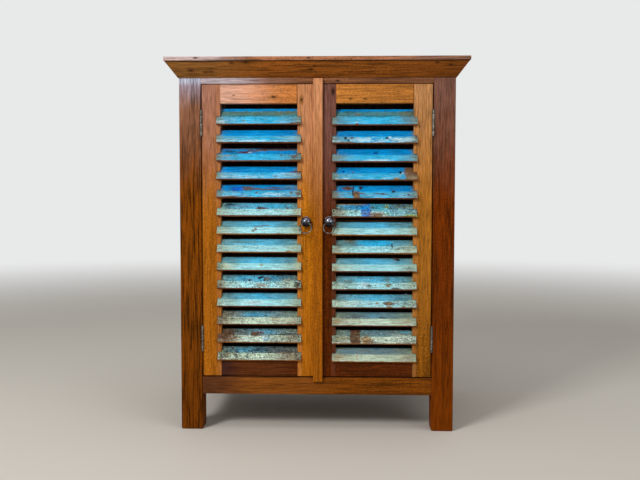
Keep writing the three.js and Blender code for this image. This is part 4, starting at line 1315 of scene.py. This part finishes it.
def build_screw_tree():
    """Screw heads in a row up a hinge leaf, facing along X, each with a thin strip on top for its slot, whose dark
    material is painted shade
    """
    inputs = {
        "Count": ("count", SCREWS_TO_A_LEAF),
        "First": ("vector", (0, 0, 0)),
        "Step": ("value", 20 * MM),
        "Radius": ("value", 2.4 * MM),
        "Stand": ("value", 0.35 * MM),
        "Steel": ("material", None),
        "Slot": ("material", None),
    }
    tree, given, out = new_group("Screw row", "GeometryNodeTree", inputs, {"Screws": "shape"})
    radius, stand = given["Radius"], given["Stand"]
    pitch = combined(0.0, 0.0, given["Step"])
    line = {"Count": given["Count"], "Start Location": given["First"], "Offset": pitch}
    row = step(line, "GeometryNodeMeshLine")
    cone = {"Vertices": 24, "Radius Top": radius * 0.86, "Radius Bottom": radius, "Depth": stand}
    head = step(cone, "GeometryNodeMeshCone", fill_type="NGON")
    # The slot is not cut: a thin strip on the head, dark with painted shade
    slot = step({"Size": combined(radius * 1.6, radius * 0.26, stand * 0.2)}, "GeometryNodeMeshCube")
    slot = step({0: slot, "Translation": combined(0.0, 0.0, stand)}, "GeometryNodeTransform")
    slot = stored(slot, "slot", 1.0, "FLOAT", "FACE")
    whole = joined(head, slot)
    laid = step({0: whole, "Rotation": (0.0, math.pi / 2, 0.0)}, "GeometryNodeTransform")
    turn = add(tree, "FunctionNodeRandomValue", {2: 0.0, 3: 3.1, "Seed": 4}, data_type="FLOAT")
    turned = {0: row, "Instance": laid, "Rotation": combined(Field(turn.outputs[1]))}
    spread = step(turned, "GeometryNodeInstanceOnPoints")
    fill(out, {"Screws": in_two_materials(spread, given["Steel"], "slot", given["Slot"])})
    return tree


def joined(*shapes):
    whole = add(shapes[0].socket.id_data, "GeometryNodeJoinGeometry")
    for shape in shapes:
        fill(whole, {0: shape})
    return Field(whole.outputs[0])


class BuildHinges(bpy.types.Operator):
    """Makes the four hinges' fixed leaves and the screws of all leaves"""

    bl_idname = "cabinet.build_hinges"
    bl_label = "Hinges"

    def execute(self, context):
        radius = context.scene.cabinet_fittings.screw
        steel = hinge_steel("leg_leaf_steel")
        # dark material for the slot strips: painted shade of the slots
        dark = metal("screw_slot_shade", (40, 32, 28), (18, 14, 12), 0.5, 3.0)
        tree = build_screw_tree()
        for side, outward in SIDES.items():
            pin = PINS[side + "_door_hinge"]
            for level in LEVELS:
                node = f"{side}_{level}_hinge"
                fixed_leaf(side, level, steel)
                low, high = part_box(node)
                pitch = (high.z - low.z) / SCREWS_TO_A_LEAF
                for leaf, carrier, way in (("leg", node, -1), ("door", side + "_door_hinge_stile", 1)):
                    face = pin.x - way * outward * (LEAF_GAP / 2 - SCREW_SINK)
                    screws = grown(f"{side}_{level}_{leaf}_screws", tree, {
                        "First": (face, high.y - SCREW_INSET, low.z + pitch / 2), "Step": pitch,
                        "Radius": radius, "Stand": SCREW_HEIGHT, "Steel": steel, "Slot": dark,
                    })
                    go_with(screws, carrier)
        return {"FINISHED"}


# Pulls

# How far below a boss's middle its painted shade begins
PAINTED_SHADE_BELOW_MIDDLE = 1 * MM
RING_STEPS = 56
WIRE_SIDES = 14
SHANK_RADIUS = 2.2 * MM
BOSS_GAP = 0.2 * MM
BOSS_PROFILE_SHARES = [
    (0.96, 0.0), (1.0, 0.035), (1.0, 0.075), (0.95, 0.11), (0.86, 0.13), (0.84, 0.19), (0.9, 0.27),
    (0.93, 0.36), (0.92, 0.47), (0.86, 0.6), (0.76, 0.72), (0.62, 0.83), (0.44, 0.92), (0.24, 0.98),
    (0.08, 1.0),
]


class BuildPulls(bpy.types.Operator):
    """Makes the domed bosses and the rings that hang in them"""

    bl_idname = "cabinet.build_pulls"
    bl_label = "Pulls"

    def execute(self, context):
        low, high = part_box("left_pull_boss")
        # the bosses' lower halves are blackened with painted shade
        shade_line = (low.z + high.z) / 2 - PAINTED_SHADE_BELOW_MIDDLE
        black = metal("black_iron", (150, 154, 168), (36, 36, 42), 0.04, 6.0, shaded_below=shade_line)
        grey = metal("ring_iron", (150, 144, 134), (58, 50, 46), 0.2, 4.0)
        tree = build_ring_tree()
        for side in SIDES:
            pull_boss(side, black)
            pull_ring(side, tree, context.scene.cabinet_fittings.wire, grey)
        return {"FINISHED"}


def pull_boss(side, black):
    """A domed boss on its shank"""
    node = side + "_pull_boss"
    low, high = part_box(node)
    front = frame_front() * MM
    radius, reach = (high.x - low.x) / 2, front - low.y
    centre = Vector(((low.x + high.x) / 2, front, (low.z + high.z) / 2))
    shape = bmesh.new()
    shank = [(SHANK_RADIUS, front - high.y), (SHANK_RADIUS, BOSS_GAP)]
    dome = [(share * radius, BOSS_GAP + out * (reach - BOSS_GAP)) for share, out in BOSS_PROFILE_SHARES]
    lathe(shape, shank + dome, centre, axis="Y", segments=48)
    bmesh.ops.recalc_face_normals(shape, faces=shape.faces[:])
    return stand_for(mesh_object(node + "_turned", shape, black), node)


def build_ring_tree():
    """An open ring of wire with its two pins turned in, hanging below its pivot"""
    inputs = {
        "Radius": ("value", 13.1 * MM),
        "Shoulder": ("value", 9.3 * MM),
        "Pin tip": ("value", 5.6 * MM),
        "Wire": ("value", 1.4 * MM),
        "Pivot": ("vector", (0, 0, 0)),
        "Iron": ("material", None),
    }
    tree, given, out = new_group("Pull ring", "GeometryNodeTree", inputs, {"Ring": "shape"})
    radius, shoulder = given["Radius"], given["Shoulder"]
    drop = calc("SQRT", calc("POWER", radius, 2.0) - calc("POWER", shoulder, 2.0))
    open_half = calc("ARCTAN2", shoulder, drop)
    arc = step({
        "Resolution": RING_STEPS, "Radius": radius, "Start Angle": open_half + math.pi / 2,
        "Sweep Angle": 2 * math.pi - open_half * 2.0,
    }, "GeometryNodeCurveArc")
    lowered = step({0: arc, "Translation": combined(0.0, drop * -1.0)}, "GeometryNodeTransform")
    pins = [
        step({"Start": combined(shoulder * way), "End": combined(given["Pin tip"] * way)},
             "GeometryNodeCurvePrimitiveLine")
        for way in (-1.0, 1.0)
    ]
    wire = step({"Resolution": WIRE_SIDES, "Radius": given["Wire"]}, "GeometryNodeCurvePrimitiveCircle")
    path = joined(lowered, *pins)
    tube = step({"Curve": path, "Profile Curve": wire, "Fill Caps": True}, "GeometryNodeCurveToMesh")
    smooth = step({0: tube}, "GeometryNodeSetShadeSmooth")
    upright = {0: smooth, "Translation": given["Pivot"], "Rotation": (math.pi / 2, 0.0, 0.0)}
    real = step({0: step(upright, "GeometryNodeTransform")}, "GeometryNodeRealizeInstances")
    fill(out, {"Ring": step({0: real, "Material": given["Iron"]}, "GeometryNodeSetMaterial")})
    return tree


def pull_ring(side, tree, wire, grey):
    node = side + "_pull_ring"
    pivot = tuple(PINS[side + "_ring_pivot"])
    return stand_for(grown(node + "_wire", tree, {"Wire": wire, "Pivot": pivot, "Iron": grey}), node)


# Camera and stage

CAMERA_PLACE = (65.2 * MM, -2079.6 * MM, 559.4 * MM)
CAMERA_TURN = math.radians(1.739)
CAMERA_DIP = math.radians(3.153)
CAMERA_ROLL = math.radians(0.057)
CAMERA_LENS = 45
CAMERA_SENSOR = 36
FLOOR_RADIUS = 14
FLOOR_FADE = (1.6, 5.5)


class BuildStage(bpy.types.Operator):
    """Makes the floor, the background, the soft lamps and the camera"""

    bl_idname = "cabinet.build_stage"
    bl_label = "Stage"

    def execute(self, context):
        stage = context.scene.cabinet_stage
        build_floor(stage)
        build_daylight(context.scene, stage)
        build_lamps(stage)
        camera = bpy.data.objects.new("camera", bpy.data.cameras.new("camera"))
        camera.data.lens = CAMERA_LENS
        camera.data.sensor_width = CAMERA_SENSOR
        turn = Matrix.Rotation(CAMERA_TURN, 4, "Z")
        dip = Matrix.Rotation(math.pi / 2 - CAMERA_DIP, 4, "X")
        roll = Matrix.Rotation(CAMERA_ROLL, 4, "Z")
        camera.matrix_world = Matrix.Translation(CAMERA_PLACE) @ turn @ dip @ roll
        context.scene.collection.objects.link(camera)
        context.scene.camera = camera
        context.scene.view_settings.view_transform = "Standard"
        return {"FINISHED"}


def build_floor(stage):
    """A wide floor that fades into the background far from the cabinet"""
    shape = bmesh.new()
    bmesh.ops.create_circle(shape, cap_ends=True, segments=96, radius=FLOOR_RADIUS)
    material, tree, shader = new_material("floor_finish")
    place = object_place(tree)
    colour = tuple(stage.floor) + (1.0,)
    deeper = tuple(0.96 * channel for channel in stage.floor) + (1.0,)
    clouds = noise(place, (2, 2, 2), 1.0)
    fill(shader, {"Base Color": mixed(clouds, colour, deeper), "Roughness": 0.8})
    far = rise(calc("LENGTH", place), *FLOOR_FADE)
    seen = far * Field(add(tree, "ShaderNodeLightPath").outputs["Is Camera Ray"])
    sky = add(tree, "ShaderNodeEmission", {"Color": tuple(stage.backdrop) + (1.0,), "Strength": 1.0})
    blend = step({0: seen, 1: Field(shader.outputs[0]), 2: Field(sky.outputs[0])}, "ShaderNodeMixShader")
    fill(tree.nodes["Material Output"], {0: blend})
    mesh_object("floor", shape, material)


def build_daylight(scene, stage):
    """Light from all round, and the plain background that the camera and gloss see"""
    world = bpy.data.worlds.new("daylight")
    world.use_nodes = True
    tree = world.node_tree
    tree.nodes.clear()
    path = add(tree, "ShaderNodeLightPath").outputs
    seen = calc("MAXIMUM", Field(path["Is Camera Ray"]), Field(path["Is Transmission Ray"]))
    seen = calc("MAXIMUM", seen, Field(path["Is Glossy Ray"]))
    light = add(tree, "ShaderNodeBackground", {"Color": (1.0, 0.99, 0.97, 1.0), "Strength": stage.daylight})
    sky = add(tree, "ShaderNodeBackground", {"Color": tuple(stage.backdrop) + (1.0,), "Strength": 1.0})
    blend = step({0: seen, 1: Field(light.outputs[0]), 2: Field(sky.outputs[0])}, "ShaderNodeMixShader")
    add(tree, "ShaderNodeOutputWorld", {0: blend})
    scene.world = world


# Each lamp's place, the point that it shines at, its size in metres and its power in watts
LAMPS = {
    "lamp_key": ((-1.7, -2.4, 2.3), (0, 0, 0.45), 0.9, 62),
    "lamp_fill": ((2.2, -2.2, 1.5), (0, 0, 0.45), 2.0, 16),
    "lamp_top": ((0.0, -0.6, 2.8), (0, -0.1, 0.4), 1.6, 14),
}


def build_lamps(stage):
    for name, (place, target, size, power) in LAMPS.items():
        lamp = bpy.data.objects.new(name, bpy.data.lights.new(name, "AREA"))
        lamp.data.size = size
        lamp.data.energy = power * stage.lamps
        lamp.location = place
        lamp.rotation_euler = (Vector(target) - Vector(place)).to_track_quat("-Z", "Y").to_euler()
        bpy.context.scene.collection.objects.link(lamp)


class CabinetPanel(bpy.types.Panel):
    """Lists what builds the cabinet, with its settings"""

    bl_idname = "VIEW3D_PT_louvred_cabinet"
    bl_label = "Louvred door cabinet"
    bl_space_type = "VIEW_3D"
    bl_region_type = "UI"
    bl_category = "Cabinet"

    def draw(self, context):
        for group in SETTINGS:
            box = self.layout.box()
            settings = getattr(context.scene, group)
            for name in settings.bl_rna.properties.keys():
                if name not in ("rna_type", "name"):
                    box.prop(settings, name)
        for operator in OPERATORS:
            self.layout.operator(operator.bl_idname)


SETTINGS = {
    "cabinet_edges": CabinetEdges,
    "cabinet_slats": CabinetSlats,
    "cabinet_fittings": CabinetFittings,
    "cabinet_stage": CabinetStage,
}
OPERATORS = [BuildCarcass, BuildDoorFrames, BuildSlats, BuildHinges, BuildPulls, BuildStage]
EFFECTS = [build_grain_effect, build_knot_effect, build_paint_effect, build_patch_effect]


def register():
    for group in [*SETTINGS.values(), *OPERATORS, CabinetPanel]:
        bpy.utils.register_class(group)
    for name, group in SETTINGS.items():
        setattr(bpy.types.Scene, name, bpy.props.PointerProperty(type=group))


def unregister():
    for name in SETTINGS:
        delattr(bpy.types.Scene, name)
    for group in reversed([*SETTINGS.values(), *OPERATORS, CabinetPanel]):
        bpy.utils.unregister_class(group)


def main():
    register()
    for build in EFFECTS:
        build()
    for operator in OPERATORS:
        getattr(bpy.ops.cabinet, operator.bl_idname.split(".")[1])()
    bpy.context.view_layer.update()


if __name__ == "__main__":
    main()
